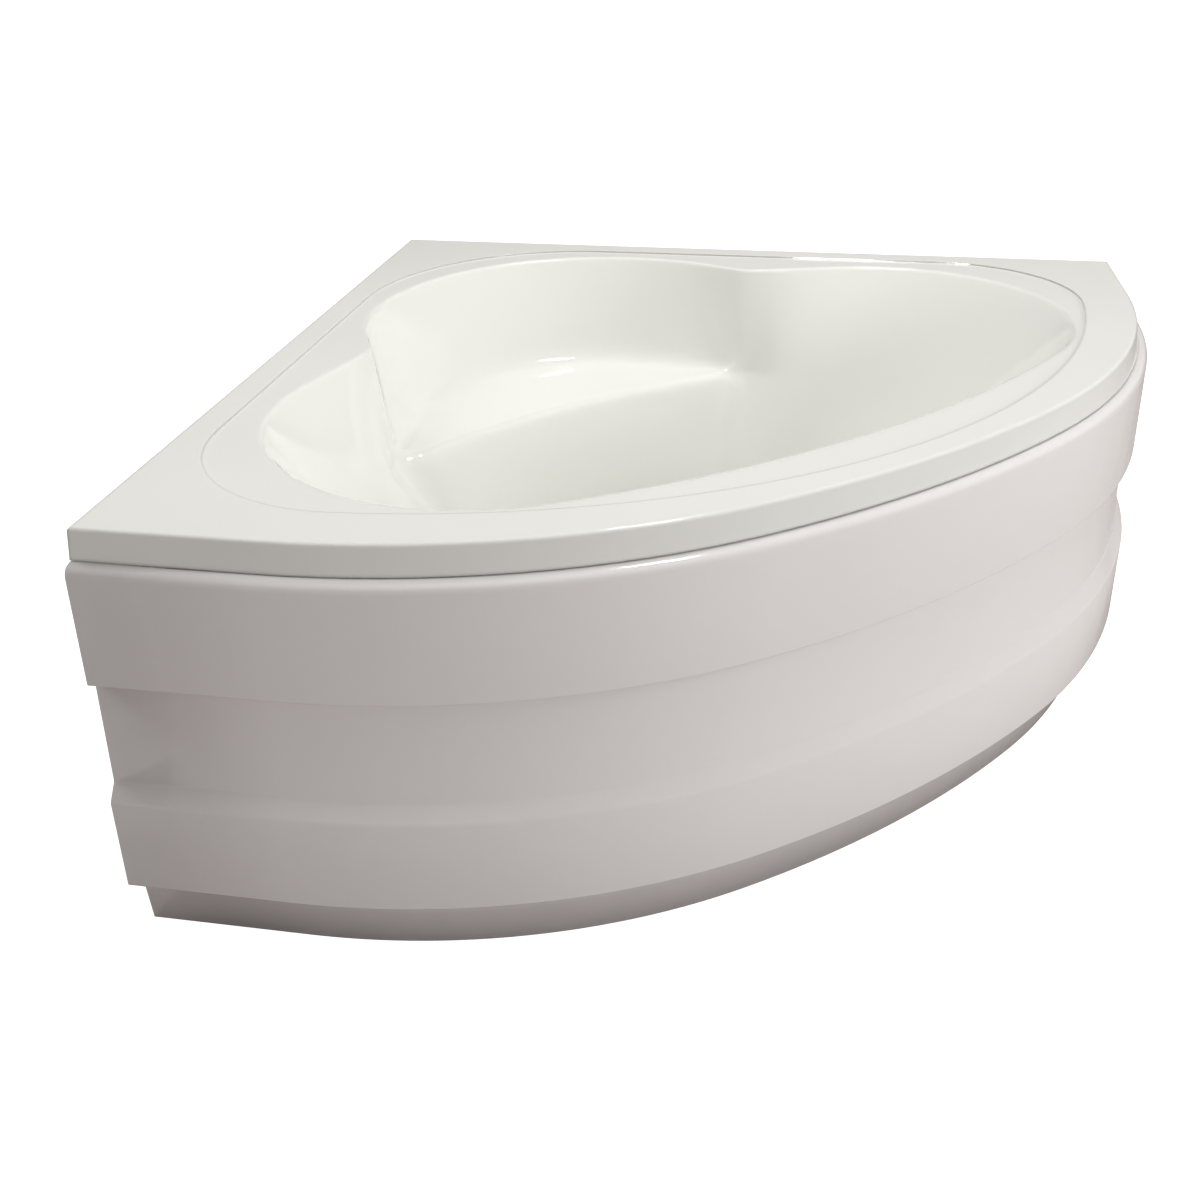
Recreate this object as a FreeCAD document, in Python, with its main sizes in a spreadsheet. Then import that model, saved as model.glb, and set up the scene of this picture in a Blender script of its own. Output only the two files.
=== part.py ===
"""Corner bath: moulded shell with a corner seat, tiered front panel, steel cradle and plumbing.

Plan places use two frames that share the room corner. In the corner frame X runs along the
right wall and -Y along the left wall. In the diagonal frame "along" runs from the corner to
the middle of the curved front, and "across" runs to the right of that line. The finished
document has its origin below the middle of the whole bath, at the floor.
"""
import FreeCAD, Part
import math
import os
import re

import Sketcher
from FreeCAD import Placement, Rotation, Vector

SIZES = (
    # name, value, meaning: lengths in mm, angles in degrees
    ("bath_side", 1500, "rim along each wall"),
    ("bath_height", 644, "floor to the top of the deck"),
    ("return_length", 245, "straight front beside each wall"),
    ("shoulder_radius", 1066, "front curve next to the straight part"),
    ("shoulder_turn", 35.8, "turn of that curve"),
    ("lip_height", 42, "turned-down edge of the deck"),
    ("lip_draft", 9, "lip leans in by this at its top"),
    ("lip_rounding", 5, "rounding of the deck's outer edge"),
    ("shell_wall", 6, "acrylic and its laminate"),
    ("recess_depth", 3, "step down inside the recess line"),
    ("recess_margin", 50, "wall to the recess line"),
    ("recess_corner", 400, "recess line's radius in the corner"),
    ("recess_end_radius", 250, "recess line's radius at its ends"),
    ("recess_gap", 3.4, "softened edge of a side lobe to the recess line"),
    ("recess_front", 53, "front edge to the recess line on the diagonal"),
    ("corner_ledge", 89, "wall to the corner lobe"),
    ("corner_lobe", 421, "radius of the basin's corner lobe"),
    ("side_ledge", 97, "wall to a side lobe"),
    ("end_ledge", 136, "rim end to a side lobe"),
    ("side_lobe", 335, "radius of a side lobe"),
    ("armrest_slope", 15.6, "angle of the rim from a side lobe to the armrest nose"),
    ("nose_blend", 16, "softening of the armrest nose in plan"),
    ("front_ledge", 131, "front edge to the basin on the diagonal"),
    ("rim_edge", 6, "softening of the basin's top edge"),
    ("corner_slant", 75, "lean of the wall behind the seat"),
    ("armrest_slant", 25, "lean of the armrest column"),
    ("armrest_spread", 9, "half turn of the armrest column about the basin's middle"),
    ("armrest_curve", 72, "softening of the wall at the seat's height, around the lobes"),
    ("seat_fade", 8, "turn over which the seat gives way to the lobe's wall"),
    ("least_seat", 10, "seat's depth where it ends beside the armrest"),
    ("seat_height", 437, "floor to the seat"),
    ("seat_depth", 627, "corner to the seat's front edge"),
    ("seat_edge_radius", 1585, "plan radius of the seat's front edge"),
    ("seat_back_curve", 62, "softening behind the seat"),
    ("seat_front_curve", 26, "softening of the seat's front edge"),
    ("basin_floor", 205, "floor to the basin's bottom"),
    ("floor_back", 700, "corner to the bottom's back end"),
    ("floor_front", 1300, "corner to the bottom's front end"),
    ("floor_half_width", 440, "diagonal to the bottom's side end"),
    ("floor_curve", 40, "softening around the bottom"),
    ("panel_wall", 4, "front panel's sheet"),
    ("panel_gap", 2, "lip to the top of the panel"),
    ("flange_depth", 36, "panel's top flange behind the lip's face"),
    ("shoulder_reach", 18, "panel's shoulder beyond the lip"),
    ("shoulder_drop", 12, "height of the rounded shoulder"),
    ("shoulder_run", 14, "width of the rounded shoulder"),
    ("tier_one_base", 427, "underside of the top tier"),
    ("tier_one_reach", 24, "top tier's lower edge beyond the lip"),
    ("tier_two_inset", 18, "middle tier behind the top tier's edge"),
    ("tier_two_base", 266, "bottom of the middle tier"),
    ("tier_two_reach", 15, "middle tier's lower edge beyond the lip"),
    ("tier_three_top", 243, "top edge of the bottom tier"),
    ("tier_three_shoulder", 34, "bottom tier's top edge beyond the lip"),
    ("tier_three_base", 98, "underside of the bottom tier"),
    ("tier_three_reach", 38, "bottom tier's lower edge beyond the lip"),
    ("plinth_inset", 36, "plinth behind the bottom tier's edge"),
    ("plinth_lean", 8, "plinth leans in by this at the floor"),
    ("board_thickness", 16, "base board and seat board"),
    ("board_back", 760, "corner to the base board"),
    ("board_length", 370, "base board along the diagonal"),
    ("board_width", 720, "base board across the diagonal"),
    ("seat_board_back", 400, "corner to the seat board"),
    ("seat_board_length", 140, "seat board along the diagonal"),
    ("seat_board_width", 240, "seat board across the diagonal"),
    ("rail_section", 35, "outside of the square steel tube"),
    ("rail_wall", 2, "wall of the square steel tube"),
    ("rail_hole_room", 0.5, "foot's rod to its hole in the rail"),
    ("screw_room", 0.2, "screw to its clearance hole"),
    ("back_rail_place", 800, "corner to the middle of the back rail"),
    ("back_rail_length", 700, "back rail across the diagonal"),
    ("front_rail_place", 1105, "corner to the middle of the front rail"),
    ("front_rail_length", 760, "front rail across the diagonal"),
    ("seat_rail_start", 430, "corner to the seat rail"),
    ("post_place", 480, "corner to the middle of the seat post"),
    ("foot_inset", 45, "rail end to its foot"),
    ("foot_rod", 6, "radius of the threaded rod"),
    ("rod_clearance", 0.05, "rod to the bores of its nuts"),
    ("rod_rise", 12, "rod above the underside of its rail"),
    ("nut_height", 10, "weld nut and lock nut"),
    ("nut_radius", 11, "nut over its corners"),
    ("pad_radius", 30, "foot pad on the floor"),
    ("pad_height", 24, "foot pad"),
    ("pad_sole", 8, "foot pad below the rod"),
    ("pad_collar", 5, "foot pad's wall around the rod"),
    ("screw_radius", 2.5, "screw shank"),
    ("screw_head", 4.5, "screw head's radius"),
    ("screw_head_height", 3, "screw head"),
    ("screw_bite", 12, "screw's grip in board or batten"),
    ("batten_width", 34, "rim batten away from the wall"),
    ("batten_start", 160, "corner to a rim batten"),
    ("batten_length", 1180, "rim batten along the wall"),
    ("bracket_width", 60, "wall bracket along the wall"),
    ("bracket_drop", 50, "wall bracket below the rim"),
    ("bracket_sheet", 3, "wall bracket's steel"),
    ("bracket_near", 300, "corner to the near wall brackets"),
    ("bracket_far", 1120, "corner to the far wall brackets"),
    ("bracket_hole", 3.5, "radius of the wall bracket's holes"),
    ("bracket_hole_spacing", 36, "between the wall bracket's two holes"),
    ("bracket_hole_drop", 30, "holes below the bracket's top"),
    ("clip_width", 30, "panel clip along the front"),
    ("clip_sheet", 1.2, "panel clip's steel"),
    ("clip_gap", 0.3, "clip to the panel's flange"),
    ("clip_play", 4, "panel's flange to the clip's web"),
    ("clip_screw_inset", 8, "block's back end to its screw"),
    ("lip_room", 2, "lip's inner face to the clips and blocks"),
    ("clip_block_depth", 52, "clip block behind the lip"),
    ("clip_block_width", 60, "clip block along the front"),
    ("inner_clip_turn", 7, "inner clips, turned from the diagonal"),
    ("outer_clip_turn", 32, "outer clips, turned from the diagonal"),
    ("strut_section", 20, "outside of the panel strut"),
    ("strut_wall", 1.5, "wall of the panel strut"),
    ("strut_place", 250, "diagonal to a panel strut"),
    ("stop_thickness", 5, "end stop of a panel strut"),
    ("stop_gap", 0.3, "end stop to the panel"),
    ("waste_place", 1180, "corner to the waste"),
    ("waste_hole", 26, "radius of the hole in the basin's bottom"),
    ("waste_bore", 21, "radius inside the waste flange"),
    ("waste_flange", 35, "radius of the waste flange"),
    ("waste_flange_rise", 3, "waste flange above the basin's surface"),
    ("waste_dish", 1.5, "dished seat of the waste flange above the basin's surface"),
    ("waste_room", 0.5, "waste flange's tail to the hole"),
    ("waste_tail", 42, "waste flange below the basin's surface"),
    ("waste_guide", 8, "radius of the plug's guide"),
    ("guide_height", 12, "plug's guide"),
    ("bar_width", 4, "bars that hold the plug's guide"),
    ("bar_height", 8, "bars that hold the plug's guide"),
    ("plug_stem", 4, "radius of the plug's stem"),
    ("stem_rise", 4, "end of the plug's stem above the guide's lower end"),
    ("plug_radius", 31, "radius of the pop-up plug"),
    ("plug_room", 1, "plug to the flange's raised rim and to its seal's edges"),
    ("plug_seal", 2, "thickness of the plug's seal"),
    ("plug_rim", 2, "thickness of the plug at its edge"),
    ("plug_dome", 3.5, "rise of the plug's dome above its edge"),
    ("gasket_thickness", 3, "waste and overflow gaskets"),
    ("housing_wall", 3, "plastic housings"),
    ("cup_room", 1, "hole to the inside of a plastic cup's wall"),
    ("waste_body_depth", 50, "waste body below its gasket"),
    ("cup_flange", 5, "thickness of the waste body's flange"),
    ("drain_tail", 18, "waste body's tail into the trap"),
    ("drain_radius", 20, "outside radius of the drain tube"),
    ("drain_wall", 3, "wall of the drain tube"),
    ("trap_bend", 25, "trap's bend radius"),
    ("trap_bottom", 52, "floor to the trap's lower run"),
    ("trap_length", 80, "trap between its two legs"),
    ("trap_outlet", 104, "floor to the outlet's axis"),
    ("trap_outlet_run", 75, "trap beyond its second leg"),
    ("trap_turn", 8, "trap swivelled about the waste, to pass beside the seat post"),
    ("outlet_end", 860, "corner to the end of the outlet pipe, before its swivel"),
    ("spigot", 100, "outlet pipe beyond its collar"),
    ("collar_rise", 3, "collar around the outlet pipe"),
    ("collar_length", 6, "collar along the outlet pipe"),
    ("union_radius", 27, "union nut"),
    ("union_length", 22, "union nut"),
    ("overflow_drop", 79, "deck to the overflow"),
    ("overflow_hole", 24, "radius of the hole in the front wall"),
    ("overflow_face", 36, "radius of the overflow's face ring"),
    ("knob_radius", 33, "radius of the overflow knob"),
    ("knob_depth", 14, "overflow knob"),
    ("knob_gap", 2, "face ring to the knob"),
    ("face_seat", 0.5, "face ring's flat back to the curved wall"),
    ("face_depth", 4, "thickness of the face ring"),
    ("face_chamfer", 2, "chamfer of the face ring's edge"),
    ("sleeve_wall", 4, "face ring's sleeve in the hole"),
    ("sleeve_room", 1, "sleeve to the hole"),
    ("sleeve_length", 18, "face ring's sleeve behind the basin's surface"),
    ("knob_stem", 5, "radius of the knob's stem"),
    ("knob_chamfer", 3, "chamfer of the knob's edge"),
    ("notch_radius", 6, "finger notches in the knob's edge"),
    ("stem_seat", 4, "housing's floor to the end of the knob's stem"),
    ("stem_guide", 10, "guide of the knob's stem"),
    ("housing_depth", 44, "overflow housing behind its flange"),
    ("housing_flange", 4, "thickness of the overflow housing's flange"),
    ("hose_radius", 16, "outside radius of the overflow pipe"),
    ("hose_wall", 2.5, "wall of the overflow pipe"),
    ("hose_bend", 60, "bend of the overflow pipe"),
    ("port_length", 14, "overflow ports beyond their housings"),
    ("joint_gap", 0.3, "pipe's or cable's end to its housing"),
    ("cable_radius", 2.5, "control cable"),
    ("cable_room", 50, "space that the control cable's bends need"),
    ("past", 1, "cutting tools run past their piece by this"),
)

doc = FreeCAD.newDocument("CornerBath")
sheet = doc.addObject("Spreadsheet::Sheet", "Sizes")
for row, (alias, number, meaning) in enumerate(SIZES, start=1):
    sheet.set(f"A{row}", alias)
    sheet.set(f"B{row}", str(number))
    sheet.set(f"C{row}", meaning)
    sheet.setAlias(f"B{row}", alias)
doc.recompute()
NAMES = {alias for alias, number, meaning in SIZES}

# Heights and places that follow from the sheet, as expressions.
TOP = "(bath_height - recess_depth)"
UNDERSIDE = "(bath_height - recess_depth - shell_wall)"
LIP_BASE = "(bath_height - lip_height)"
OVERFLOW = "(bath_height - overflow_drop)"
FLOOR_UNDER = "(basin_floor - shell_wall)"
BOARD_UNDER = "(basin_floor - shell_wall - board_thickness)"
RAIL_UNDER = "(basin_floor - shell_wall - board_thickness - rail_section)"
SEAT_UNDER = "(seat_height - shell_wall)"
HALF_SPAN = "((bath_side + tier_three_reach) / 2)"
FEET = (
    ("back_left", "back_rail_place", "(foot_inset - back_rail_length / 2)"),
    ("back_right", "back_rail_place", "(back_rail_length / 2 - foot_inset)"),
    ("front_left", "front_rail_place", "(foot_inset - front_rail_length / 2)"),
    ("front_right", "front_rail_place", "(front_rail_length / 2 - foot_inset)"),
    ("seat", "post_place", "0"),
)
parts = []


def bound(text):
    """Point each size's name in an expression at its cell in the sheet."""
    return re.sub(r"[a-z_]+", lambda word: ("Sizes." if word[0] in NAMES else "") + word[0], text)


def value(text):
    """Work an expression out from the sheet."""
    return float(sheet.evalExpression(bound(text)))


def add(kind, name):
    return doc.addObject(kind, name)


def named(label, obj):
    """Make an object a sub-part of the bath."""
    obj.Label = label
    parts.append(obj)
    return obj


def seat_at(obj, along, across, height, turn=-45):
    """Seat an object at a place of the diagonal frame."""
    obj.Placement = Placement(Vector(), Rotation(Vector(0, 0, 1), turn))
    obj.setExpression(".Placement.Base.x", bound(f"(({along}) + ({across})) * cos(45) - {HALF_SPAN}"))
    obj.setExpression(".Placement.Base.y", bound(f"(({across}) - ({along})) * cos(45) + {HALF_SPAN}"))
    obj.setExpression(".Placement.Base.z", bound(str(height)))
    return obj


def box(length, width, height, along, across, base):
    """A box with its low corner at a place of the diagonal frame."""
    obj = add("Part::Box", "Block")
    for prop, size in (("Length", length), ("Width", width), ("Height", height)):
        obj.setExpression(prop, bound(size))
    return seat_at(obj, along, across, base)


def rod(radius, length, along, across, base):
    """An upright cylinder standing at a place of the diagonal frame."""
    obj = add("Part::Cylinder", "Rod")
    obj.setExpression("Radius", bound(radius))
    obj.setExpression("Height", bound(length))
    return seat_at(obj, along, across, base)


def fuse(pieces, name="Joined"):
    obj = add("Part::MultiFuse", name)
    obj.Shapes = pieces
    return obj


def holder(pieces, name):
    """A compound that carries its pieces to another place."""
    obj = add("Part::Compound", name)
    obj.Links = pieces
    return obj


def cut(base, tools, name="Cut"):
    obj = add("Part::Cut", name)
    obj.Base = base
    obj.Tool = fuse(tools, "Tools") if len(tools) > 1 else tools[0]
    return obj


def group(label, pieces):
    return named(label, holder(pieces, label))


def outline_sketch(body, role, name, points):
    """A closed polygon in one of a body's own planes, each corner bound to the sheet."""
    sketch = body.newObject("Sketcher::SketchObject", name)
    plane = [item for item in body.Origin.OriginFeatures if item.Role == role][0]
    sketch.AttachmentSupport = [(plane, "")]
    sketch.MapMode = "FlatFace"
    corners = [Vector(value(x), value(y), 0) for x, y in points]
    count = len(corners)
    for index in range(count):
        sketch.addGeometry(Part.LineSegment(corners[index], corners[(index + 1) % count]))
    for index in range(count):
        sketch.addConstraint(Sketcher.Constraint("Coincident", index, 2, (index + 1) % count, 1))
    for index, (x, y) in enumerate(points):
        fix_point(sketch, index, 1, x, y)
    return sketch


def fix_point(sketch, geometry, end, x, y):
    """Bind a sketch point's place to the sheet; None leaves a direction free."""
    for kind, text in (("DistanceX", x), ("DistanceY", y)):
        if text is not None:
            constraint = Sketcher.Constraint(kind, -1, 1, geometry, end, value(text))
            number = sketch.addConstraint(constraint)
            sketch.setExpression(f"Constraints[{number}]", bound(text))


def turned(label, points):
    """A body turned about its Z axis from a radius and height profile."""
    body = add("PartDesign::Body", label)
    profile = outline_sketch(body, "XZ_Plane", "Profile", points)
    turn = body.newObject("PartDesign::Revolution", "Turned")
    turn.Profile = profile
    turn.ReferenceAxis = (profile, ["V_Axis"])
    turn.Angle = 360
    profile.Visibility = False
    return body


# ---------------------------------------------------------------- the moulded shell

def ray_to_circle(centre, angle, along, across, radius):
    """Distance from a point on the diagonal to the far side of a circle."""
    lead = (along - centre) * math.cos(angle) + across * math.sin(angle)
    rest = (along - centre) ** 2 + across ** 2 - radius ** 2
    return lead + math.sqrt(lead ** 2 - rest)


def front_circle(front, along, across, radius):
    """Centre and radius of the arc across the diagonal that runs smoothly into an end circle."""
    lead = along - front
    big = (radius ** 2 - lead ** 2 - across ** 2) / (2 * (lead + radius))
    return front - big, big


def middle_arc():
    """Centre and radius, in the diagonal frame, of the middle of the curved front."""
    turn = math.radians(value("shoulder_turn"))
    room = value("bath_side - shoulder_radius - return_length")
    extra = room / (math.cos(turn) - math.sin(turn))
    centre = value("return_length") - extra * math.sin(turn)
    return centre * math.sqrt(2), value("shoulder_radius") + extra


def diagonal_point(along, across, height=0.0):
    """A corner-frame vector from a place of the diagonal frame."""
    root = math.sqrt(2)
    return Vector((along + across) / root, (across - along) / root, height)


def front_edges(offset, inset, height):
    """The curved front, moved out by offset, between planes at inset from the walls."""
    side = value("bath_side")
    start = value("return_length")
    radius = value("shoulder_radius")
    turn = math.radians(value("shoulder_turn"))
    centre, big = middle_arc()
    reach = side + offset
    spots = [Vector(inset, -reach, height), Vector(start, -reach, height)]
    for share in (0.5, 1.0):
        angle = turn * share
        east = start + (radius + offset) * math.sin(angle)
        south = side - radius + (radius + offset) * math.cos(angle)
        spots.append(Vector(east, -south, height))
    spots.append(diagonal_point(centre + big + offset, 0, height))
    spots += [Vector(-spot.y, -spot.x, height) for spot in reversed(spots[:4])]
    return [
        Part.LineSegment(spots[0], spots[1]).toShape(),
        Part.Arc(spots[1], spots[2], spots[3]).toShape(),
        Part.Arc(spots[3], spots[4], spots[5]).toShape(),
        Part.Arc(spots[5], spots[6], spots[7]).toShape(),
        Part.LineSegment(spots[7], spots[8]).toShape(),
    ]


def deck_wire(offset, inset, height):
    """The deck's whole outline: curved front and two straight wall sides."""
    edges = front_edges(offset, inset, height)
    corner = Vector(inset, -inset, height)
    left_end = edges[0].Vertexes[0].Point
    right_end = edges[-1].Vertexes[-1].Point
    sides = [
        Part.LineSegment(right_end, corner).toShape(),
        Part.LineSegment(corner, left_end).toShape(),
    ]
    return Part.Wire(edges + sides)


def recess_wire(height):
    """The rounded triangle of the recess line; its front arc passes just outside the lobes."""
    margin = value("recess_margin")
    corner = value("recess_corner")
    radius = value("recess_end_radius")
    root = math.sqrt(2)
    plan = basin_plan()
    centre, big = middle_arc()
    front = centre + big - value("recess_front")
    front_centre, front_radius = front_circle(
        front, plan["lobe_along"], plan["lobe_across"],
        plan["lobe"] + value("2 * rim_edge + recess_gap"))
    middle = front_centre / root
    end_y = -(margin + radius)
    end_x = middle + math.sqrt((front_radius - radius) ** 2 - (end_y + middle) ** 2)
    along = (end_x - end_y) / root
    across = (end_x + end_y) / root
    turn = math.atan2(across, along - front_centre)
    meet = diagonal_point(
        front_centre + front_radius * math.cos(turn), front_radius * math.sin(turn), height)
    bisector = (math.radians(90) + turn - math.radians(45)) / 2
    bulge = Vector(end_x + radius * math.cos(bisector), end_y + radius * math.sin(bisector), height)
    tip = diagonal_point(front, 0, height)
    back = margin + corner
    heel = margin + corner * (1 - 1 / root)
    right = [Vector(back, -margin, height), Vector(end_x, -margin, height), bulge, meet]
    left = [Vector(-spot.y, -spot.x, height) for spot in right]
    return Part.Wire([
        Part.Arc(left[0], Vector(heel, -heel, height), right[0]).toShape(),
        Part.LineSegment(right[0], right[1]).toShape(),
        Part.Arc(right[1], right[2], right[3]).toShape(),
        Part.Arc(right[3], tip, left[3]).toShape(),
        Part.Arc(left[3], left[2], left[1]).toShape(),
        Part.LineSegment(left[1], left[0]).toShape(),
    ])


def basin_plan():
    """Plan sizes of the basin in the diagonal frame."""
    root = math.sqrt(2)
    lobe = value("side_lobe")
    lobe_x = value("bath_side - end_ledge") - lobe
    lobe_y = -(value("side_ledge") + lobe)
    centre, big = middle_arc()
    front = centre + big - value("front_ledge")
    plan = {
        "centre": value("(floor_back + floor_front) / 2"),
        "corner": (value("corner_ledge") + value("corner_lobe")) * root,
        "lobe_along": (lobe_x - lobe_y) / root,
        "lobe_across": (lobe_x + lobe_y) / root,
        "lobe": lobe,
    }
    plan["front_centre"], plan["front_radius"] = front_circle(
        front, plan["lobe_along"], plan["lobe_across"], lobe)
    return plan


def side_reach(plan, angle):
    """Reach to the rim in front of the armrest: front arc, side lobe, then the armrest's line."""
    slope = math.radians(135 + value("armrest_slope"))
    turn = math.atan2(plan["lobe_across"], plan["lobe_along"] - plan["front_centre"])
    bearings = []
    for heading in (turn, slope):
        along = plan["lobe_along"] + plan["lobe"] * math.cos(heading)
        across = plan["lobe_across"] + plan["lobe"] * math.sin(heading)
        bearings.append(math.atan2(across, along - plan["centre"]))
    if angle <= bearings[0]:
        return ray_to_circle(plan["centre"], angle, plan["front_centre"], 0, plan["front_radius"])
    if angle <= bearings[1]:
        return ray_to_circle(
            plan["centre"], angle, plan["lobe_along"], plan["lobe_across"], plan["lobe"])
    lead = (plan["lobe_along"] - plan["centre"]) * math.cos(slope)
    level = lead + plan["lobe_across"] * math.sin(slope) + plan["lobe"]
    facing = math.cos(angle - slope)
    grazing = math.cos(math.radians(78))
    return level / facing if facing > grazing else 0.0


def rim_reach(plan, angle):
    """Reach from the basin's centre to its rim; the armrest nose is where two curves meet."""
    corner = ray_to_circle(plan["centre"], angle, plan["corner"], 0, value("corner_lobe"))
    side = side_reach(plan, angle)
    blend = value("nose_blend")
    return (corner + side + math.sqrt((corner - side) ** 2 + blend ** 2)) / 2


def nose_bearing(plan):
    """The direction of the armrest nose, where the two rim curves reach equally far."""
    low, high = math.radians(90), math.radians(160)
    for step in range(40):
        middle = (low + high) / 2
        corner = ray_to_circle(plan["centre"], middle, plan["corner"], 0, value("corner_lobe"))
        if side_reach(plan, middle) > corner:
            low = middle
        else:
            high = middle
    return low


def floor_reach(angle):
    """Reach from the basin's centre to the corner of its bottom, an oval across the diagonal."""
    length = value("(floor_front - floor_back) / 2")
    width = value("floor_half_width")
    return 1 / math.hypot(math.cos(angle) / length, math.sin(angle) / width)


def ramp(share):
    share = min(max(share, 0.0), 1.0)
    return share * share * (3 - 2 * share)


def between(start, end, share):
    return tuple(a + (b - a) * share for a, b in zip(start, end))


def toward(start, end, distance):
    """A point some way from start to end, short of the middle."""
    length = math.dist(start, end)
    return between(start, end, min(distance / length, 0.45)) if length > 0 else start


def basin_section(plan, nose, angle):
    """Control points (reach, height) from the deck to the flat bottom, in one direction."""
    top = value(TOP)
    seat = value("seat_height")
    base = value("basin_floor")
    edge = value("rim_edge")
    rim = (rim_reach(plan, angle), top)
    foot = (floor_reach(angle), base)
    at_nose = math.exp(-((angle - nose) / math.radians(value("armrest_spread"))) ** 2)
    straight = between(rim, foot, (top - seat) / (top - base))
    column = (rim[0] - value("armrest_slant"), seat)
    bend = between(straight, column, at_nose)
    slant = value("corner_slant") + (value("armrest_slant") - value("corner_slant")) * at_nose
    heel = (rim[0] - slant, seat)
    brow_reach = ray_to_circle(
        plan["centre"], angle, value("seat_depth + seat_edge_radius"), 0, value("seat_edge_radius"))
    brow = (min(brow_reach, heel[0] - value("least_seat")), seat)
    fade = math.radians(value("seat_fade"))
    seated = ramp((angle - nose) / fade + 0.5)
    back_curve = value("seat_back_curve")
    front_curve = value("seat_front_curve")
    on_seat = [
        toward(heel, rim, back_curve), heel, toward(heel, brow, back_curve),
        between(heel, brow, 0.5),
        toward(brow, heel, front_curve), brow, toward(brow, foot, front_curve),
    ]
    steps = [value("armrest_curve") * share for share in (1, 0.64, 0.3)]
    on_wall = [toward(bend, rim, step) for step in steps] + [bend]
    on_wall += [toward(bend, foot, step) for step in reversed(steps)]
    middle = [between(wall, ledge, seated) for wall, ledge in zip(on_wall, on_seat)]
    curve = value("floor_curve")
    wall_foot = between(bend, brow, seated)
    return [
        (rim[0] + 2 * edge, top), (rim[0] + edge, top), rim,
        toward(rim, middle[0], edge), toward(rim, middle[0], 2.5 * edge),
        between(rim, middle[0], 0.4), between(rim, middle[0], 0.75),
    ] + middle + [
        between(middle[-1], foot, 0.45),
        toward(foot, wall_foot, curve), foot,
        (foot[0] - curve, base), (foot[0] - 2 * curve, base),
    ]


def basin_grid():
    """Rings of control points of the basin's upper surface, around the well."""
    plan = basin_plan()
    nose = nose_bearing(plan)
    count = 240
    grid = []
    for index in range(count):
        turn = 2 * math.pi * index / count
        angle = min(turn, 2 * math.pi - turn)
        section = basin_section(plan, nose, angle)
        grid.append([
            diagonal_point(
                plan["centre"] + reach * math.cos(turn), reach * math.sin(turn), height)
            for reach, height in section])
    return grid


def under_grid(grid, wall):
    """The control points of the underside: the upper ones moved out by the wall thickness."""
    count = len(grid)
    moved = []
    for index, column in enumerate(grid):
        before = grid[index - 1]
        after = grid[(index + 1) % count]
        faces = []
        for level in range(len(column) - 1):
            around = after[level] - before[level] + after[level + 1] - before[level + 1]
            face = (column[level + 1] - column[level]).cross(around)
            faces.append(face.normalize())
        faces = [Vector(0, 0, -1)] + faces + [Vector(0, 0, -1)]
        moved.append([
            spot + (faces[level] + faces[level + 1]) * (
                wall / (1 + faces[level].dot(faces[level + 1])))
            for level, spot in enumerate(column)])
    return moved


def grid_face(grid):
    """A smooth face, closed around the well, from its control points."""
    count = len(grid)
    levels = len(grid[0])
    surface = Part.BSplineSurface()
    ends = [4] + [1] * (levels - 4) + [4]
    surface.buildFromPolesMultsKnots(
        grid, [1] * (count + 1), ends, [float(k) for k in range(count + 1)],
        [float(k) for k in range(levels - 2)], True, False, 3, 3)
    return surface.toShape()


def ring_edges(face):
    """The top and bottom edges of a basin face, in that order."""
    rings = [edge for edge in face.Edges if edge.BoundBox.ZLength < 0.001]
    return sorted(rings, key=lambda edge: -edge.BoundBox.ZMax)


def holed(face, ring):
    """A flat face with one more opening, along a ring."""
    return Part.makeFace([face.OuterWire, Part.Wire([ring])], "Part::FaceMakerBullseye")


def deck_solid():
    """Deck, turned-down lip and recess, still without the basin."""
    wall = value("shell_wall")
    draft = value("lip_draft")
    base = value(LIP_BASE)
    top = value("bath_height")
    under = value(UNDERSIDE)
    skin = Part.makeLoft([deck_wire(0, 0, base), deck_wire(-draft, 0, top)], True, True)
    brim = [edge for edge in skin.Edges if edge.BoundBox.ZMin > top - 0.001]
    skin = skin.makeFillet(value("lip_rounding"), brim)
    below = value("past")
    lean = draft / value("lip_height")
    hollow = Part.makeLoft([
        deck_wire(lean * below - wall, wall, base - below),
        deck_wire(-lean * (under - base) - wall, wall, under),
    ], True, True)
    recess = Part.Face(recess_wire(value(TOP))).extrude(Vector(0, 0, value("recess_depth + past")))
    return skin.cut(hollow).cut(recess)


def tub_shell():
    wall = value("shell_wall")
    grid = basin_grid()
    inside = grid_face(grid)
    outside = grid_face(under_grid(grid, wall))
    rings = ring_edges(inside) + ring_edges(outside)
    levels = (value(TOP), value(UNDERSIDE))
    faces = [inside, outside, Part.Face(Part.Wire([rings[1]])), Part.Face(Part.Wire([rings[3]]))]
    for face in deck_solid().Faces:
        box_z = face.BoundBox
        flat = box_z.ZLength < 0.001
        if flat and abs(box_z.ZMax - levels[0]) < 0.001:
            face = holed(face, rings[0])
        elif flat and abs(box_z.ZMax - levels[1]) < 0.001:
            face = holed(face, rings[2])
        faces.append(face)
    shell = Part.makeShell(faces)
    shell.sewShape()
    shell = shell.Shells[0] if shell.ShapeType == "Compound" else shell
    solid = Part.makeSolid(shell)
    if solid.Volume < 0:
        solid.reverse()
    drain = Part.makeCylinder(
        value("waste_hole"), 4 * wall,
        diagonal_point(value("waste_place"), 0, value("basin_floor") - 2 * wall))
    port = Part.makeCylinder(value("overflow_hole"), 6 * wall, Vector(0, 0, -3 * wall))
    port.Placement = overflow_frame()
    obj = add("Part::Feature", "tub_shell")
    obj.Shape = solid.cut(drain).cut(port)
    seat_at(obj, "0", "0", "0", 0)
    return named("tub_shell", obj)


# ---------------------------------------------------------------- the front panel

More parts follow.
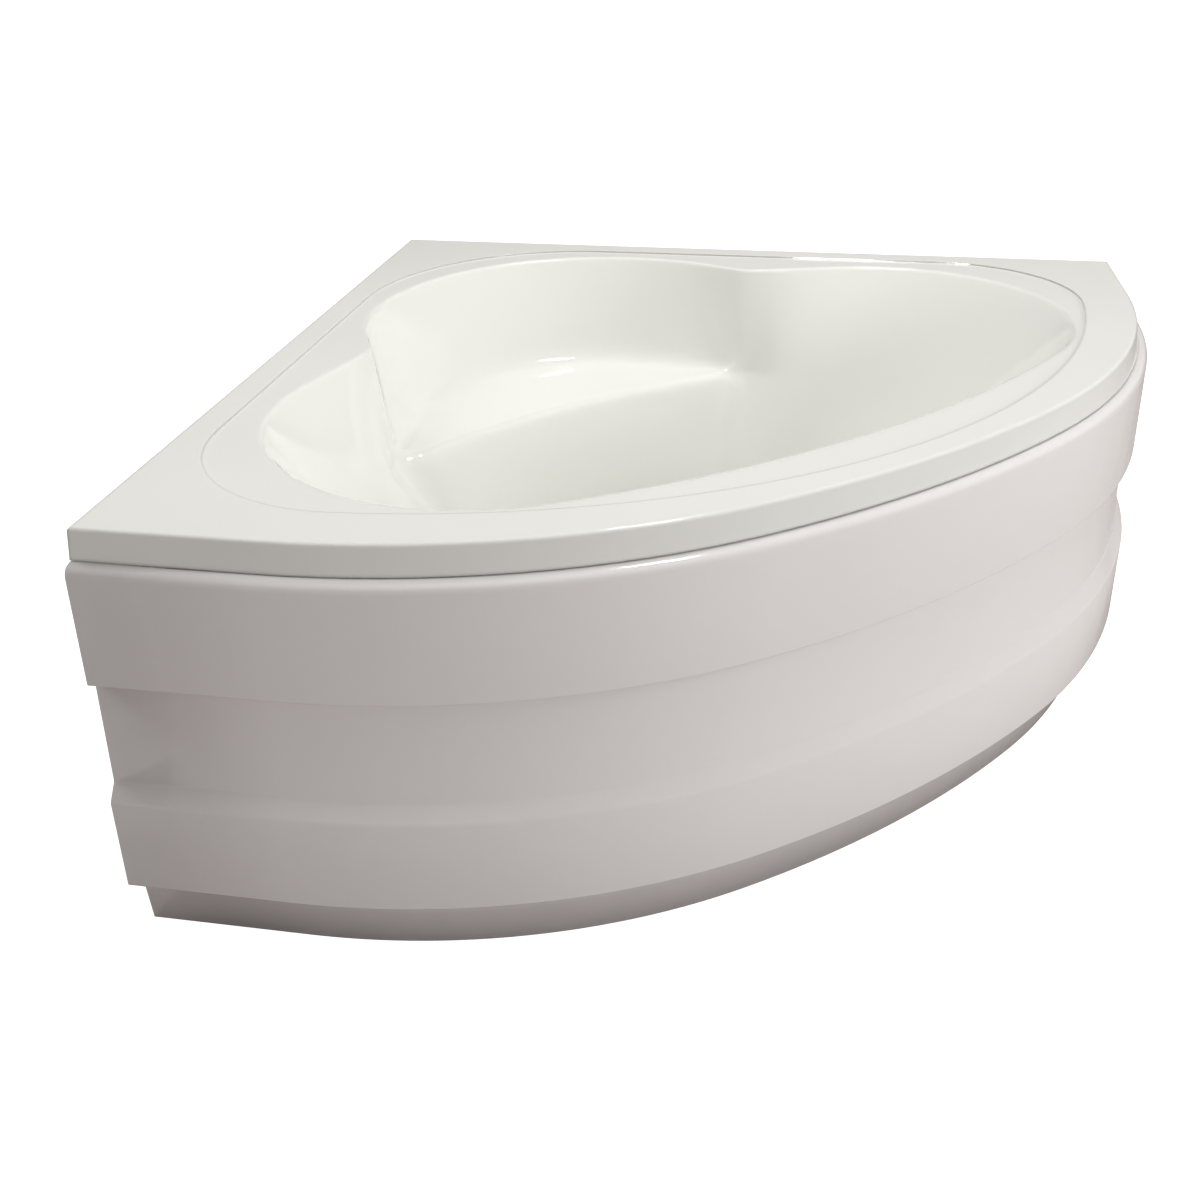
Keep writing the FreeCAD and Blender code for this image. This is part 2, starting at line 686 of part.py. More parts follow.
def front_panel():
    """Sheet panel in three overlapping tiers, swept along the curved front."""
    body = add("PartDesign::Body", "front_panel")
    path = body.newObject("Sketcher::SketchObject", "FrontPath")
    plane = [item for item in body.Origin.OriginFeatures if item.Role == "XY_Plane"][0]
    path.AttachmentSupport = [(plane, "")]
    path.MapMode = "FlatFace"
    for edge in front_edges(0, 0, 0):
        curve = edge.Curve
        if isinstance(curve, Part.Line):
            path.addGeometry(Part.LineSegment(edge.Vertexes[0].Point, edge.Vertexes[1].Point))
        else:
            path.addGeometry(Part.ArcOfCircle(
                Part.Circle(curve.Center, Vector(0, 0, 1), curve.Radius), *arc_span(edge)))
    for index in range(4):
        path.addConstraint(Sketcher.Constraint("Coincident", index, 2, index + 1, 1))
    room = "(bath_side - shoulder_radius - return_length)"
    extra = f"({room} / (cos(shoulder_turn) - sin(shoulder_turn)))"
    middle = f"(return_length - {extra} * sin(shoulder_turn))"
    meet_x = "(return_length + shoulder_radius * sin(shoulder_turn))"
    meet_y = "(bath_side - shoulder_radius + shoulder_radius * cos(shoulder_turn))"
    fix_point(path, 0, 1, "0", "-bath_side")
    fix_point(path, 0, 2, "return_length", "-bath_side")
    fix_point(path, 1, 3, "return_length", "shoulder_radius - bath_side")
    fix_point(path, 1, 2, meet_x, None)
    fix_point(path, 2, 3, middle, f"-{middle}")
    fix_point(path, 2, 2, meet_y, None)
    fix_point(path, 3, 3, "bath_side - shoulder_radius", "-return_length")
    fix_point(path, 3, 2, None, "-return_length")
    fix_point(path, 4, 2, "bath_side", "0")
    profile = outline_sketch(body, "YZ_Plane", "Tiers", panel_profile())
    pipe = body.newObject("PartDesign::AdditivePipe", "SweptPanel")
    pipe.Profile = profile
    pipe.Spine = (path, [f"Edge{number}" for number in range(1, 6)])
    profile.Visibility = False
    path.Visibility = False
    seat_at(body, "0", "0", "0", 0)
    return named("front_panel", body)


def arc_span(edge):
    """Start and end angles of an arc about +Z, counter-clockwise."""
    centre = edge.Curve.Center
    ends = [vertex.Point - centre for vertex in edge.Vertexes]
    return sorted(math.atan2(end.y, end.x) for end in ends)


def panel_profile():
    """Corners (sketch x = -reach from the wall, height) of the panel's sheet, outside then inside."""
    top = f"({LIP_BASE} - panel_gap)"
    tier_two = "(tier_one_reach - tier_two_inset)"
    plinth = "(tier_three_reach - plinth_inset)"
    # beyond the lip, height, and the way to the sheet's inner face at that corner
    corners = (
        ("-flange_depth", top, 0, -1),
        ("shoulder_reach - shoulder_run", top, -0.2, -1),
        ("shoulder_reach - shoulder_run * 0.3", f"{top} - shoulder_drop * 0.3", -0.6, -0.9),
        ("shoulder_reach", f"{top} - shoulder_drop", -1, -0.1),
        ("tier_one_reach", "tier_one_base", -1, 1),
        (tier_two, "tier_one_base", -1, 1),
        ("tier_two_reach", "tier_two_base", -1, -0.4),
        ("tier_three_shoulder", "tier_three_top", -1, -0.6),
        ("tier_three_reach", "tier_three_base", -1, 1),
        (plinth, "tier_three_base", -1, 1),
        (f"{plinth} - plinth_lean", "0", -1, 0),
    )
    outside = [(f"-(bath_side + {out})", height) for out, height, inward, rise in corners]
    inside = [
        (f"-(bath_side + {out} + panel_wall * {inward})", f"{height} + panel_wall * {rise}")
        for out, height, inward, rise in reversed(corners)]
    return outside + inside


# ---------------------------------------------------------------- boards, battens and cradle

def screw(length, along, across, base):
    """A screw driven upward, its head below the given height."""
    head = rod("screw_head", "screw_head_height", along, across, f"{base} - screw_head_height")
    shank = rod("screw_radius", length, along, across, base)
    return fuse([head, shank], "Screw")


RAIL_SCREWS = [
    (place, f"{side} * {width} / 4")
    for place, width in (("back_rail_place", "back_rail_length"),
                         ("front_rail_place", "front_rail_length"))
    for side in ("-1", "1")]


def base_board():
    board = box("board_length", "board_width", "board_thickness",
                "board_back", "-board_width / 2", BOARD_UNDER)
    pilots = [rod("screw_radius", "screw_bite", along, across, BOARD_UNDER)
              for along, across in RAIL_SCREWS]
    return named("base_board", cut(board, pilots, "base_board"))


def seat_board():
    board = box("seat_board_length", "seat_board_width", "board_thickness", "seat_board_back",
                "-seat_board_width / 2", f"{SEAT_UNDER} - board_thickness")
    return named("seat_board", board)


def cross_rail(label, place, length):
    """A square tube across the diagonal, with holes for two feet and two screws."""
    low = f"{place} - rail_section / 2"
    tube = box("rail_section", length, "rail_section", low, f"-{length} / 2", RAIL_UNDER)
    core = box("rail_section - 2 * rail_wall", f"{length} + 2 * past", "rail_section - 2 * rail_wall",
               f"{low} + rail_wall", f"-{length} / 2 - past", f"{RAIL_UNDER} + rail_wall")
    tools = [core]
    for side in ("-1", "1"):
        across = f"{side} * ({length} / 2 - foot_inset)"
        tools.append(rod("foot_rod + rail_hole_room", "2 * rail_wall", place, across,
                         f"{RAIL_UNDER} - rail_wall / 2"))
        tools.append(rod("screw_radius + screw_room", "rail_section + 2 * past", place,
                         f"{side} * {length} / 4", f"{RAIL_UNDER} - past"))
    return named(label, cut(tube, tools, label))


def seat_rail():
    """A square tube back along the diagonal, butted against the back rail."""
    end = "(back_rail_place - rail_section / 2)"
    length = f"({end} - seat_rail_start)"
    tube = box(length, "rail_section", "rail_section",
               "seat_rail_start", "-rail_section / 2", RAIL_UNDER)
    core = box(f"{length} + 2 * past", "rail_section - 2 * rail_wall",
               "rail_section - 2 * rail_wall", "seat_rail_start - past",
               "rail_wall - rail_section / 2", f"{RAIL_UNDER} + rail_wall")
    hole = rod("foot_rod + rail_hole_room", "2 * rail_wall", "post_place", "0",
               f"{RAIL_UNDER} - rail_wall / 2")
    return named("seat_rail", cut(tube, [core, hole], "seat_rail"))


def seat_post():
    """An upright square tube from the seat rail to the seat board."""
    height = f"({SEAT_UNDER} - board_thickness - {BOARD_UNDER})"
    low = "post_place - rail_section / 2"
    tube = box("rail_section", "rail_section", height, low, "-rail_section / 2", BOARD_UNDER)
    core = box("rail_section - 2 * rail_wall", "rail_section - 2 * rail_wall",
               f"{height} + 2 * past", f"{low} + rail_wall", "rail_wall - rail_section / 2",
               f"{BOARD_UNDER} - past")
    return named("seat_post", cut(tube, [core], "seat_post"))


def rail_screws():
    screws = [screw("rail_section + screw_bite", along, across, RAIL_UNDER)
              for along, across in RAIL_SCREWS]
    return group("rail_screws", screws)


def foot_nuts(label, level):
    """One hexagon nut at each foot, at a number of nut heights below the rails."""
    nuts = []
    for name, along, across in FEET:
        base = f"{RAIL_UNDER} - {level} * nut_height"
        nut = add("Part::Prism", "Hexagon")
        nut.Polygon = 6
        nut.setExpression("Circumradius", bound("nut_radius"))
        nut.setExpression("Height", bound("nut_height"))
        seat_at(nut, along, across, base)
        bore = rod("foot_rod + rod_clearance", "nut_height + 2 * past", along, across,
                   f"{base} - past")
        nuts.append(cut(nut, [bore], "Nut"))
    return group(label, nuts)


def feet():
    """Each foot: a threaded rod standing in a turned pad."""
    for name, along, across in FEET:
        stem = rod("foot_rod", f"{RAIL_UNDER} + rod_rise - pad_sole", along, across, "pad_sole")
        named(f"foot_rod_{name}", stem)
        socket = "(foot_rod + rod_clearance)"
        pad = turned(f"foot_pad_{name}", (
            ("0", "0"), ("pad_radius", "0"), ("pad_radius", "pad_sole * 0.75"),
            (f"{socket} + pad_collar", "pad_height"), (socket, "pad_height"),
            (socket, "pad_sole"), ("0", "pad_sole")))
        named(f"foot_pad_{name}", seat_at(pad, along, across, "0"))


def wall_box(side, start, length, away, depth, base, height):
    """A box beside one wall: start and length along it, away and depth from it."""
    obj = add("Part::Box", "Block")
    right = side == "right"
    sizes = (length, depth, height) if right else (depth, length, height)
    for prop, size in zip(("Length", "Width", "Height"), sizes):
        obj.setExpression(prop, bound(size))
    x, y = (start, f"-(({away}) + {depth})") if right else (away, f"-({start} + {length})")
    for axis, text in zip("xyz", (f"{x} - {HALF_SPAN}", f"{y} + {HALF_SPAN}", base)):
        obj.setExpression(f".Placement.Base.{axis}", bound(text))
    return obj


def wall_rod(side, radius, length, start, away, base):
    """An upright cylinder beside one wall."""
    obj = add("Part::Cylinder", "Rod")
    obj.setExpression("Radius", bound(radius))
    obj.setExpression("Height", bound(length))
    x, y = (start, f"-({away})") if side == "right" else (away, f"-({start})")
    for axis, text in zip("xyz", (f"{x} - {HALF_SPAN}", f"{y} + {HALF_SPAN}", base)):
        obj.setExpression(f".Placement.Base.{axis}", bound(text))
    return obj


SCREW_AWAY = "(shell_wall + batten_width / 2)"


def rim_batten(side):
    height = f"({UNDERSIDE} - {LIP_BASE})"
    batten = wall_box(side, "batten_start", "batten_length", "shell_wall", "batten_width",
                      LIP_BASE, height)
    pilots = [wall_rod(side, "screw_radius", "screw_bite", place, SCREW_AWAY, LIP_BASE)
              for place in ("bracket_near", "bracket_far")]
    return named(f"rim_batten_{side}", cut(batten, pilots, f"rim_batten_{side}"))


def wall_bracket(side, place, label):
    """A steel angle: one leg down the wall with two holes, one leg under the rim batten."""
    start = f"{place} - bracket_width / 2"
    depth = "shell_wall + batten_width"
    top = f"({LIP_BASE} - bracket_sheet)"
    shelf = wall_box(side, start, "bracket_width", "0", depth, top, "bracket_sheet")
    plate = wall_box(side, start, "bracket_width", "0", "bracket_sheet",
                     f"{LIP_BASE} - bracket_drop", f"(bracket_drop - bracket_sheet)")
    screw_hole = wall_rod(side, "screw_radius + screw_room", "bracket_sheet + 2 * past", place,
                          SCREW_AWAY, f"{top} - past")
    tools = [screw_hole]
    for step in ("-1", "1"):
        along = f"({place} + {step} * bracket_hole_spacing / 2)"
        hole = add("Part::Cylinder", "WallHole")
        hole.setExpression("Radius", bound("bracket_hole"))
        hole.setExpression("Height", bound("bracket_sheet + 2 * past"))
        if side == "right":
            hole.Placement.Rotation = Rotation(Vector(1, 0, 0), 90)
            x, y = along, "past"
        else:
            hole.Placement.Rotation = Rotation(Vector(0, 1, 0), 90)
            x, y = "-past", f"-{along}"
        level = f"{LIP_BASE} - bracket_hole_drop"
        for axis, text in zip("xyz", (f"{x} - {HALF_SPAN}", f"{y} + {HALF_SPAN}", level)):
            hole.setExpression(f".Placement.Base.{axis}", bound(text))
        tools.append(hole)
    return named(label, cut(fuse([shelf, plate]), tools, label))


def bracket_screws():
    screws = []
    for side in ("left", "right"):
        for place in ("bracket_near", "bracket_far"):
            under = f"({LIP_BASE} - bracket_sheet)"
            head = wall_rod(side, "screw_head", "screw_head_height", place, SCREW_AWAY,
                            f"{under} - screw_head_height")
            shank = wall_rod(side, "screw_radius", "bracket_sheet + screw_bite", place,
                             SCREW_AWAY, under)
            screws.append(fuse([head, shank], "Screw"))
    return group("bracket_screws", screws)


# ---------------------------------------------------------------- what holds the panel

CLIPS = (("outer_left", -1, "outer_clip_turn"), ("inner_left", -1, "inner_clip_turn"),
         ("inner_right", 1, "inner_clip_turn"), ("outer_right", 1, "outer_clip_turn"))


def front_spot(side, turn_name):
    """Placement on the lip's lower edge: local X points out of the bath."""
    turn = math.radians(value(turn_name))
    centre, big = middle_arc()
    if turn <= math.radians(45 - value("shoulder_turn")):
        along, across = centre + big * math.cos(turn), big * math.sin(turn)
    else:
        radius = value("shoulder_radius")
        near = value("bath_side - shoulder_radius")
        start = value("return_length")
        along = (near + start) / math.sqrt(2) + radius * math.cos(turn)
        across = (near - start) / math.sqrt(2) + radius * math.sin(turn)
    shift = value(HALF_SPAN)
    base = diagonal_point(along, side * across) + Vector(-shift, shift, 0)
    return Placement(base, Rotation(Vector(0, 0, 1), math.degrees(side * turn) - 45))


def local_box(length, width, height, x, y, z):
    obj = add("Part::Box", "Block")
    for prop, size in (("Length", length), ("Width", width), ("Height", height)):
        obj.setExpression(prop, bound(size))
    for axis, text in zip("xyz", (x, y, z)):
        obj.setExpression(f".Placement.Base.{axis}", bound(text))
    return obj


def local_rod(radius, length, x, y, z):
    obj = add("Part::Cylinder", "Rod")
    obj.setExpression("Radius", bound(radius))
    obj.setExpression("Height", bound(length))
    for axis, text in zip("xyz", (x, y, z)):
        obj.setExpression(f".Placement.Base.{axis}", bound(text))
    return obj


FLANGE_TOP = f"({LIP_BASE} - panel_gap)"
LEAF_UNDER = f"({FLANGE_TOP} + clip_gap)"
BLOCK_UNDER = f"({FLANGE_TOP} + clip_gap + clip_sheet)"
BLOCK_FRONT = "(shell_wall + lip_room)"
CLIP_SCREW = "(shell_wall + lip_room + clip_block_depth - clip_screw_inset)"


def clip_blocks():
    """Four timber blocks bonded under the deck behind the lip."""
    blocks = []
    for name, side, turn in CLIPS:
        block = local_box("clip_block_depth", "clip_block_width", f"{UNDERSIDE} - {BLOCK_UNDER}",
                          f"-{BLOCK_FRONT} - clip_block_depth - lip_draft",
                          "-clip_block_width / 2", BLOCK_UNDER)
        pilot = local_rod("screw_radius", "screw_bite", f"-{CLIP_SCREW} - lip_draft", "0",
                          BLOCK_UNDER)
        piece = cut(block, [pilot], "ClipBlock")
        piece.Placement = front_spot(side, turn)
        blocks.append(piece)
    return group("clip_blocks", blocks)


def panel_clips():
    """Four spring clips, each a U of sheet steel that holds the panel's top flange."""
    for name, side, turn in CLIPS:
        back = "(flange_depth + clip_play + clip_sheet)"
        tail = f"({BLOCK_FRONT} + clip_block_depth + lip_draft)"
        leaf = local_box(f"{tail} - {BLOCK_FRONT}", "clip_width", "clip_sheet",
                         f"-{tail}", "-clip_width / 2", LEAF_UNDER)
        drop = "(panel_wall + 2 * clip_gap + clip_sheet)"
        web = local_box("clip_sheet", "clip_width", drop, f"-{back}", "-clip_width / 2",
                        f"{LEAF_UNDER} - {drop}")
        lower = local_box(f"{back} - {BLOCK_FRONT}", "clip_width", "clip_sheet", f"-{back}",
                          "-clip_width / 2", f"{LEAF_UNDER} - {drop}")
        hole = local_rod("screw_radius + screw_room", "clip_sheet + 2 * past",
                         f"-{CLIP_SCREW} - lip_draft", "0", f"{LEAF_UNDER} - past")
        clip = cut(fuse([leaf, web, lower]), [hole], f"panel_clip_{name}")
        clip.Placement = front_spot(side, turn)
        named(f"panel_clip_{name}", clip)


def clip_screws():
    screws = []
    for name, side, turn in CLIPS:
        place = f"-{CLIP_SCREW} - lip_draft"
        head = local_rod("screw_head", "screw_head_height", place, "0",
                         f"{LEAF_UNDER} - screw_head_height")
        shank = local_rod("screw_radius", "clip_sheet + screw_bite", place, "0", LEAF_UNDER)
        piece = fuse([head, shank], "Screw")
        piece.Placement = front_spot(side, turn)
        screws.append(piece)
    return group("clip_screws", screws)


def panel_back(across, height):
    """Place along the diagonal of the bottom tier's inner face."""
    centre, big = middle_arc()
    high = value("tier_three_top - 0.6 * panel_wall")
    low = value("tier_three_base + panel_wall")
    share = (high - height) / (high - low)
    reach = value("tier_three_shoulder") + value("tier_three_reach - tier_three_shoulder") * share
    radius = big + reach - value("panel_wall")
    return centre + math.sqrt(radius ** 2 - across ** 2)


def panel_struts():
    """Two light tubes from the front rail to the back of the panel, each with an end stop."""
    start = "(front_rail_place + rail_section / 2)"
    wide = value("strut_place + strut_section / 2")
    face = panel_back(wide, value(f"{RAIL_UNDER} + strut_section")) - value("stop_gap")
    end = f"({face:.4f} - stop_thickness)"
    for side, sign in (("left", "-1"), ("right", "1")):
        low = f"({sign} * strut_place - strut_section / 2)"
        tube = box(f"{end} - {start}", "strut_section", "strut_section", start, low, RAIL_UNDER)
        core = box(f"{end} - {start} + 2 * past", "strut_section - 2 * strut_wall",
                   "strut_section - 2 * strut_wall", f"{start} - past", f"{low} + strut_wall",
                   f"{RAIL_UNDER} + strut_wall")
        named(f"panel_strut_{side}", cut(tube, [core], f"panel_strut_{side}"))
        stop = box("stop_thickness", "strut_section", "strut_section", end, low, RAIL_UNDER)
        named(f"strut_stop_{side}", stop)


# ---------------------------------------------------------------- waste

def waste_flange():
    """Flanged outlet with a dished seat, a tail and a guide for the plug on three bars."""
    tail = turned("WasteRing", (
        ("waste_bore", "-waste_tail"), ("waste_hole - waste_room", "-waste_tail"),
        ("waste_hole - waste_room", "0"), ("waste_flange", "0"), ("waste_flange", "waste_dish"),
        ("waste_flange - waste_dish", "waste_flange_rise"),
        ("plug_radius + plug_room", "waste_flange_rise"),
        ("plug_radius + plug_room", "waste_dish"), ("waste_bore", "waste_dish")))
    guide = local_rod("waste_guide", "guide_height", "0", "0", "-waste_tail")
    bars = []
    for step in range(3):
        bar = local_box("waste_bore + past", "bar_width", "bar_height", "0", "-bar_width / 2",
                        "-waste_tail")
        turn_holder = holder([bar], "Bar")
        turn_holder.Placement.Rotation = Rotation(Vector(0, 0, 1), 120 * step)
        bars.append(turn_holder)
    bore = local_rod("plug_stem + rod_clearance", "guide_height + 2 * past", "0", "0",
                     "-waste_tail - past")
    flange = cut(fuse([tail, guide] + bars), [bore], "waste_flange")
    return named("waste_flange", seat_at(flange, "waste_place", "0", "basin_floor"))


def pop_up_plug():
    """Domed plug cap with its stem, and the seal under it."""
    seat = "(waste_dish + plug_seal)"
    cap = turned("plug_cap", (
        ("0", "-waste_tail + stem_rise"), ("plug_stem", "-waste_tail + stem_rise"),
        ("plug_stem", seat), ("plug_radius", seat), ("plug_radius", f"{seat} + plug_rim"),
        ("plug_radius * 0.7", f"{seat} + plug_rim + plug_dome * 0.7"),
        ("0", f"{seat} + plug_rim + plug_dome")))
    named("plug_cap", seat_at(cap, "waste_place", "0", "basin_floor"))
    seal = turned("plug_seal", (
        ("waste_bore + plug_room", "waste_dish"), ("plug_radius - plug_room", "waste_dish"),
        ("plug_radius - plug_room", seat), ("waste_bore + plug_room", seat)))
    named("plug_seal", seat_at(seal, "waste_place", "0", "basin_floor"))


CUP_RADIUS = "(waste_hole + cup_room + housing_wall)"
GASKET_UNDER = f"({FLOOR_UNDER} - gasket_thickness)"
WASTE_FLOOR = f"({GASKET_UNDER} - waste_body_depth)"
PORT_HEIGHT = f"({GASKET_UNDER} - waste_body_depth * 0.5)"
GASKET_RADIUS = "(waste_flange + 2 * cup_room)"
PIPE_BORE = "(drain_radius - drain_wall)"


def waste_gasket():
    ring = turned("waste_gasket", (
        ("waste_hole", "0"), (GASKET_RADIUS, "0"), (GASKET_RADIUS, "gasket_thickness"),
        ("waste_hole", "gasket_thickness")))
    return named("waste_gasket", seat_at(ring, "waste_place", "0", GASKET_UNDER))


def side_tube(radius, length, start, height):
    """A level cylinder along the diagonal, from a place toward the front."""
    obj = add("Part::Cylinder", "SideTube")
    obj.setExpression("Radius", bound(radius))
    obj.setExpression("Height", bound(length))
    obj.Placement.Rotation = Rotation(Vector(0, 1, 0), 90)
    for axis, text in zip("xyz", (start, "0", height)):
        obj.setExpression(f".Placement.Base.{axis}", bound(text))
    return obj


def waste_body():
    """Plastic cup under the basin with a side port for the overflow and a tail for the trap."""
    flange = "waste_body_depth - cup_flange"
    ring = turned("WasteCup", (
        ("waste_hole", "waste_body_depth"), ("waste_hole", "housing_wall"),
        (PIPE_BORE, "housing_wall"), (PIPE_BORE, "-drain_tail"),
        ("drain_radius", "-drain_tail"), ("drain_radius", "0"), (CUP_RADIUS, "0"),
        (CUP_RADIUS, flange), (GASKET_RADIUS, flange), (GASKET_RADIUS, "waste_body_depth")))
    level = "waste_body_depth * 0.5"
    port = side_tube("hose_radius + housing_wall", f"{CUP_RADIUS} + port_length", "0", level)
    port_bore = side_tube("hose_radius", "port_length + past", CUP_RADIUS, level)
    way = side_tube("hose_radius - hose_wall", f"{CUP_RADIUS} + port_length", "0", level)
    inside = local_rod("waste_hole", "waste_body_depth - housing_wall", "0", "0", "housing_wall")
    body = cut(fuse([ring, port]), [inside, port_bore, way], "waste_body")
    return named("waste_body", seat_at(body, "waste_place", "0", WASTE_FLOOR))


# ---------------------------------------------------------------- overflow

def overflow_frame():
    """Where the overflow sits in the corner frame: Z into the basin and X down the wall."""
    plan = basin_plan()
    rim = plan["centre"] + rim_reach(plan, 0.0)
    foot = value("floor_front")
    top = value(TOP)
    fall = top - value("basin_floor")
    height = value(OVERFLOW)
    along = rim - (rim - foot) * (top - height) / fall
    lean = math.degrees(math.atan2(rim - foot, fall))
    spin = Rotation(Vector(0, 0, 1), -45) * Rotation(Vector(0, 1, 0), lean - 90)
    spin = spin * Rotation(Vector(0, 0, 1), 180)
    return Placement(diagonal_point(along, 0, height), spin)


def set_overflow(obj, label):
    shift = value(HALF_SPAN)
    obj.Placement = Placement(Vector(-shift, shift, 0), Rotation()) * overflow_frame()
    return named(label, obj)


FACE_TOP = "(face_seat + face_depth)"
SLEEVE = "(overflow_hole - sleeve_room)"
OVERFLOW_FLANGE = "(-shell_wall - gasket_thickness)"
HOUSING_BACK = "(-shell_wall - gasket_thickness - housing_depth)"


def overflow_face():
    ring = turned("overflow_face", (
        (f"{SLEEVE} - sleeve_wall", "-sleeve_length"), (SLEEVE, "-sleeve_length"),
        (SLEEVE, "face_seat"), ("overflow_face", "face_seat"),
        ("overflow_face", f"{FACE_TOP} - face_chamfer"),
        ("overflow_face - face_chamfer", FACE_TOP), (f"{SLEEVE} - sleeve_wall", FACE_TOP)))
    return set_overflow(ring, "overflow_face")


def overflow_knob():
    """Turning cap with a stem into the housing and three finger notches in its edge."""
    low = f"({FACE_TOP} + knob_gap)"
    stem_end = f"({HOUSING_BACK} + housing_wall + stem_seat)"
    cap = turned("KnobCap", (
        ("0", stem_end), ("knob_stem", stem_end), ("knob_stem", low), ("knob_radius", low),
        ("knob_radius", f"{low} + knob_depth - knob_chamfer"),
        ("knob_radius - knob_chamfer", f"{low} + knob_depth"), ("0", f"{low} + knob_depth")))
    notches = []
    for step in range(3):
        hollow = local_rod("notch_radius", "knob_depth + 2 * past", "knob_radius + notch_radius / 2",
                           "0", f"{low} - past")
        notch = holder([hollow], "Notch")
        notch.Placement.Rotation = Rotation(Vector(0, 0, 1), 60 + 120 * step)
        notches.append(notch)
    return set_overflow(cut(cap, notches, "overflow_knob"), "overflow_knob")


def overflow_gasket():
    ring = turned("overflow_gasket", (
        ("overflow_hole", OVERFLOW_FLANGE), ("overflow_face - cup_room", OVERFLOW_FLANGE),
        ("overflow_face - cup_room", "-shell_wall"), ("overflow_hole", "-shell_wall")))
    return set_overflow(ring, "overflow_gasket")


HOUSING_RADIUS = "(overflow_hole + cup_room + housing_wall)"
PORT_LEVEL = "(-shell_wall - gasket_thickness - housing_depth / 2)"


def overflow_housing():
    """Plastic cup behind the wall with a guide for the knob's stem and a port downward."""
    cup = turned("OverflowCup", (
        ("0", HOUSING_BACK), (HOUSING_RADIUS, HOUSING_BACK),
        (HOUSING_RADIUS, f"{OVERFLOW_FLANGE} - housing_flange"),
        ("overflow_face", f"{OVERFLOW_FLANGE} - housing_flange"),
        ("overflow_face", OVERFLOW_FLANGE), ("overflow_hole", OVERFLOW_FLANGE),
        ("overflow_hole", f"{HOUSING_BACK} + housing_wall"), ("0", f"{HOUSING_BACK} + housing_wall")))
    guide = local_rod("knob_stem + housing_wall", "stem_guide", "0", "0",
                      f"{HOUSING_BACK} + housing_wall / 2")
    port = local_port("hose_radius + housing_wall", f"{HOUSING_RADIUS} + port_length", "0")
    room = local_rod("overflow_hole", "housing_depth - housing_wall", "0", "0",
                     f"{HOUSING_BACK} + housing_wall")
    way = local_port("hose_radius - hose_wall", f"{HOUSING_RADIUS} + port_length", "past")
    socket = local_port("hose_radius", "port_length + past", HOUSING_RADIUS)
    bore = local_rod("knob_stem + rod_clearance", "2 * stem_guide", "0", "0",
                     f"{HOUSING_BACK} + housing_wall + stem_seat - joint_gap")
    hollow = cut(fuse([cup, port]), [room, way, socket], "Housing")
    body = cut(fuse([hollow, guide]), [bore], "overflow_housing")
    return set_overflow(body, "overflow_housing")


def local_port(radius, length, start):
    """A cylinder from the overflow's axis, down the front wall."""
    obj = add("Part::Cylinder", "Port")
    obj.setExpression("Radius", bound(radius))
    obj.setExpression("Height", bound(length))
    obj.Placement.Rotation = Rotation(Vector(0, 1, 0), 90)
    for axis, text in zip("xyz", (start, "0", PORT_LEVEL)):
        obj.setExpression(f".Placement.Base.{axis}", bound(text))
    return obj


# ---------------------------------------------------------------- pipes

def bent_path(points, bends):
    """Straight runs joined by tangent arcs."""
    edges = []
    last = points[0]
    for index, radius in enumerate(bends, start=1):
        here = points[index]
        back = (points[index - 1] - here).normalize()
        ahead = (points[index + 1] - here).normalize()
        half = math.acos(max(-1.0, min(1.0, back.dot(ahead)))) / 2
        setback = radius / math.tan(half)
        start = here + back * setback
        end = here + ahead * setback
        inward = (back + ahead).normalize()
        crown = here + inward * (radius / math.sin(half) - radius)
        edges.append(Part.LineSegment(last, start).toShape())
        edges.append(Part.Arc(start, crown, end).toShape())
        last = end
    edges.append(Part.LineSegment(last, points[-1]).toShape())
    return Part.Wire(edges)


def tube_along(wire, radius, bore):
    """A round pipe along a wire, hollow when it has a bore."""
    first = wire.OrderedEdges[0]
    start = first.valueAt(first.FirstParameter)
    heading = first.tangentAt(first.FirstParameter)
    shapes = []
    for size in (radius, bore):
        if size > 0:
            ring = Part.Wire([Part.makeCircle(size, start, heading)])
            shapes.append(wire.makePipeShell([ring], True, False))
    return shapes[0].cut(shapes[1]) if bore > 0 else shapes[0]


def pipe(label, points, bends, radius, bore):
    """A pipe in the corner frame, from places (along, across, height) of the diagonal frame."""
    wire = bent_path([diagonal_point(*spot) for spot in points], bends)
    obj = add("Part::Feature", label)
    obj.Shape = tube_along(wire, radius, bore)
    seat_at(obj, "0", "0", "0", 0)
    return named(label, obj)


def overflow_point(x, z):
    """Place (along, height) of a point of the overflow's own frame, on the diagonal plane."""
    spot = overflow_frame().multVec(Vector(x, 0, z))
    return spot.x * math.sqrt(2), spot.z


def overflow_pipe():
    """From the overflow's port down the front wall, then level to the waste body."""
    start = overflow_point(value(f"{HOUSING_RADIUS} + joint_gap"), value(PORT_LEVEL))
    further = overflow_point(value(f"{HOUSING_RADIUS} + hose_bend"), value(PORT_LEVEL))
    level = value(PORT_HEIGHT)
    share = (start[1] - level) / (start[1] - further[1])
    corner = start[0] + (further[0] - start[0]) * share
    end = value(f"waste_place + {CUP_RADIUS} + joint_gap")
    return pipe("overflow_pipe", (
        (start[0], 0, start[1]), (corner, 0, level), (end, 0, level)),
        [value("hose_bend")], value("hose_radius"), value("hose_radius - hose_wall"))


# Share of the cable's fall, then its way out from the front wall and from the housing's
# side, as shares of the room for its bends.
CABLE_FALL = (
    (0.10, 0.80, 1.00), (0.26, 0.94, 1.08), (0.43, 1.02, 1.04),
    (0.59, 0.98, 0.92), (0.74, 0.78, 0.80), (0.87, 0.36, 0.76))
# Under the basin: along from the waste, across from its side and above the port, as shares.
CABLE_UNDER = ((1.66, 0.84, 0.24), (0.60, 0.92, 0.02), (0.0, 0.60, 0.0), (0.0, 0.0, 0.0))


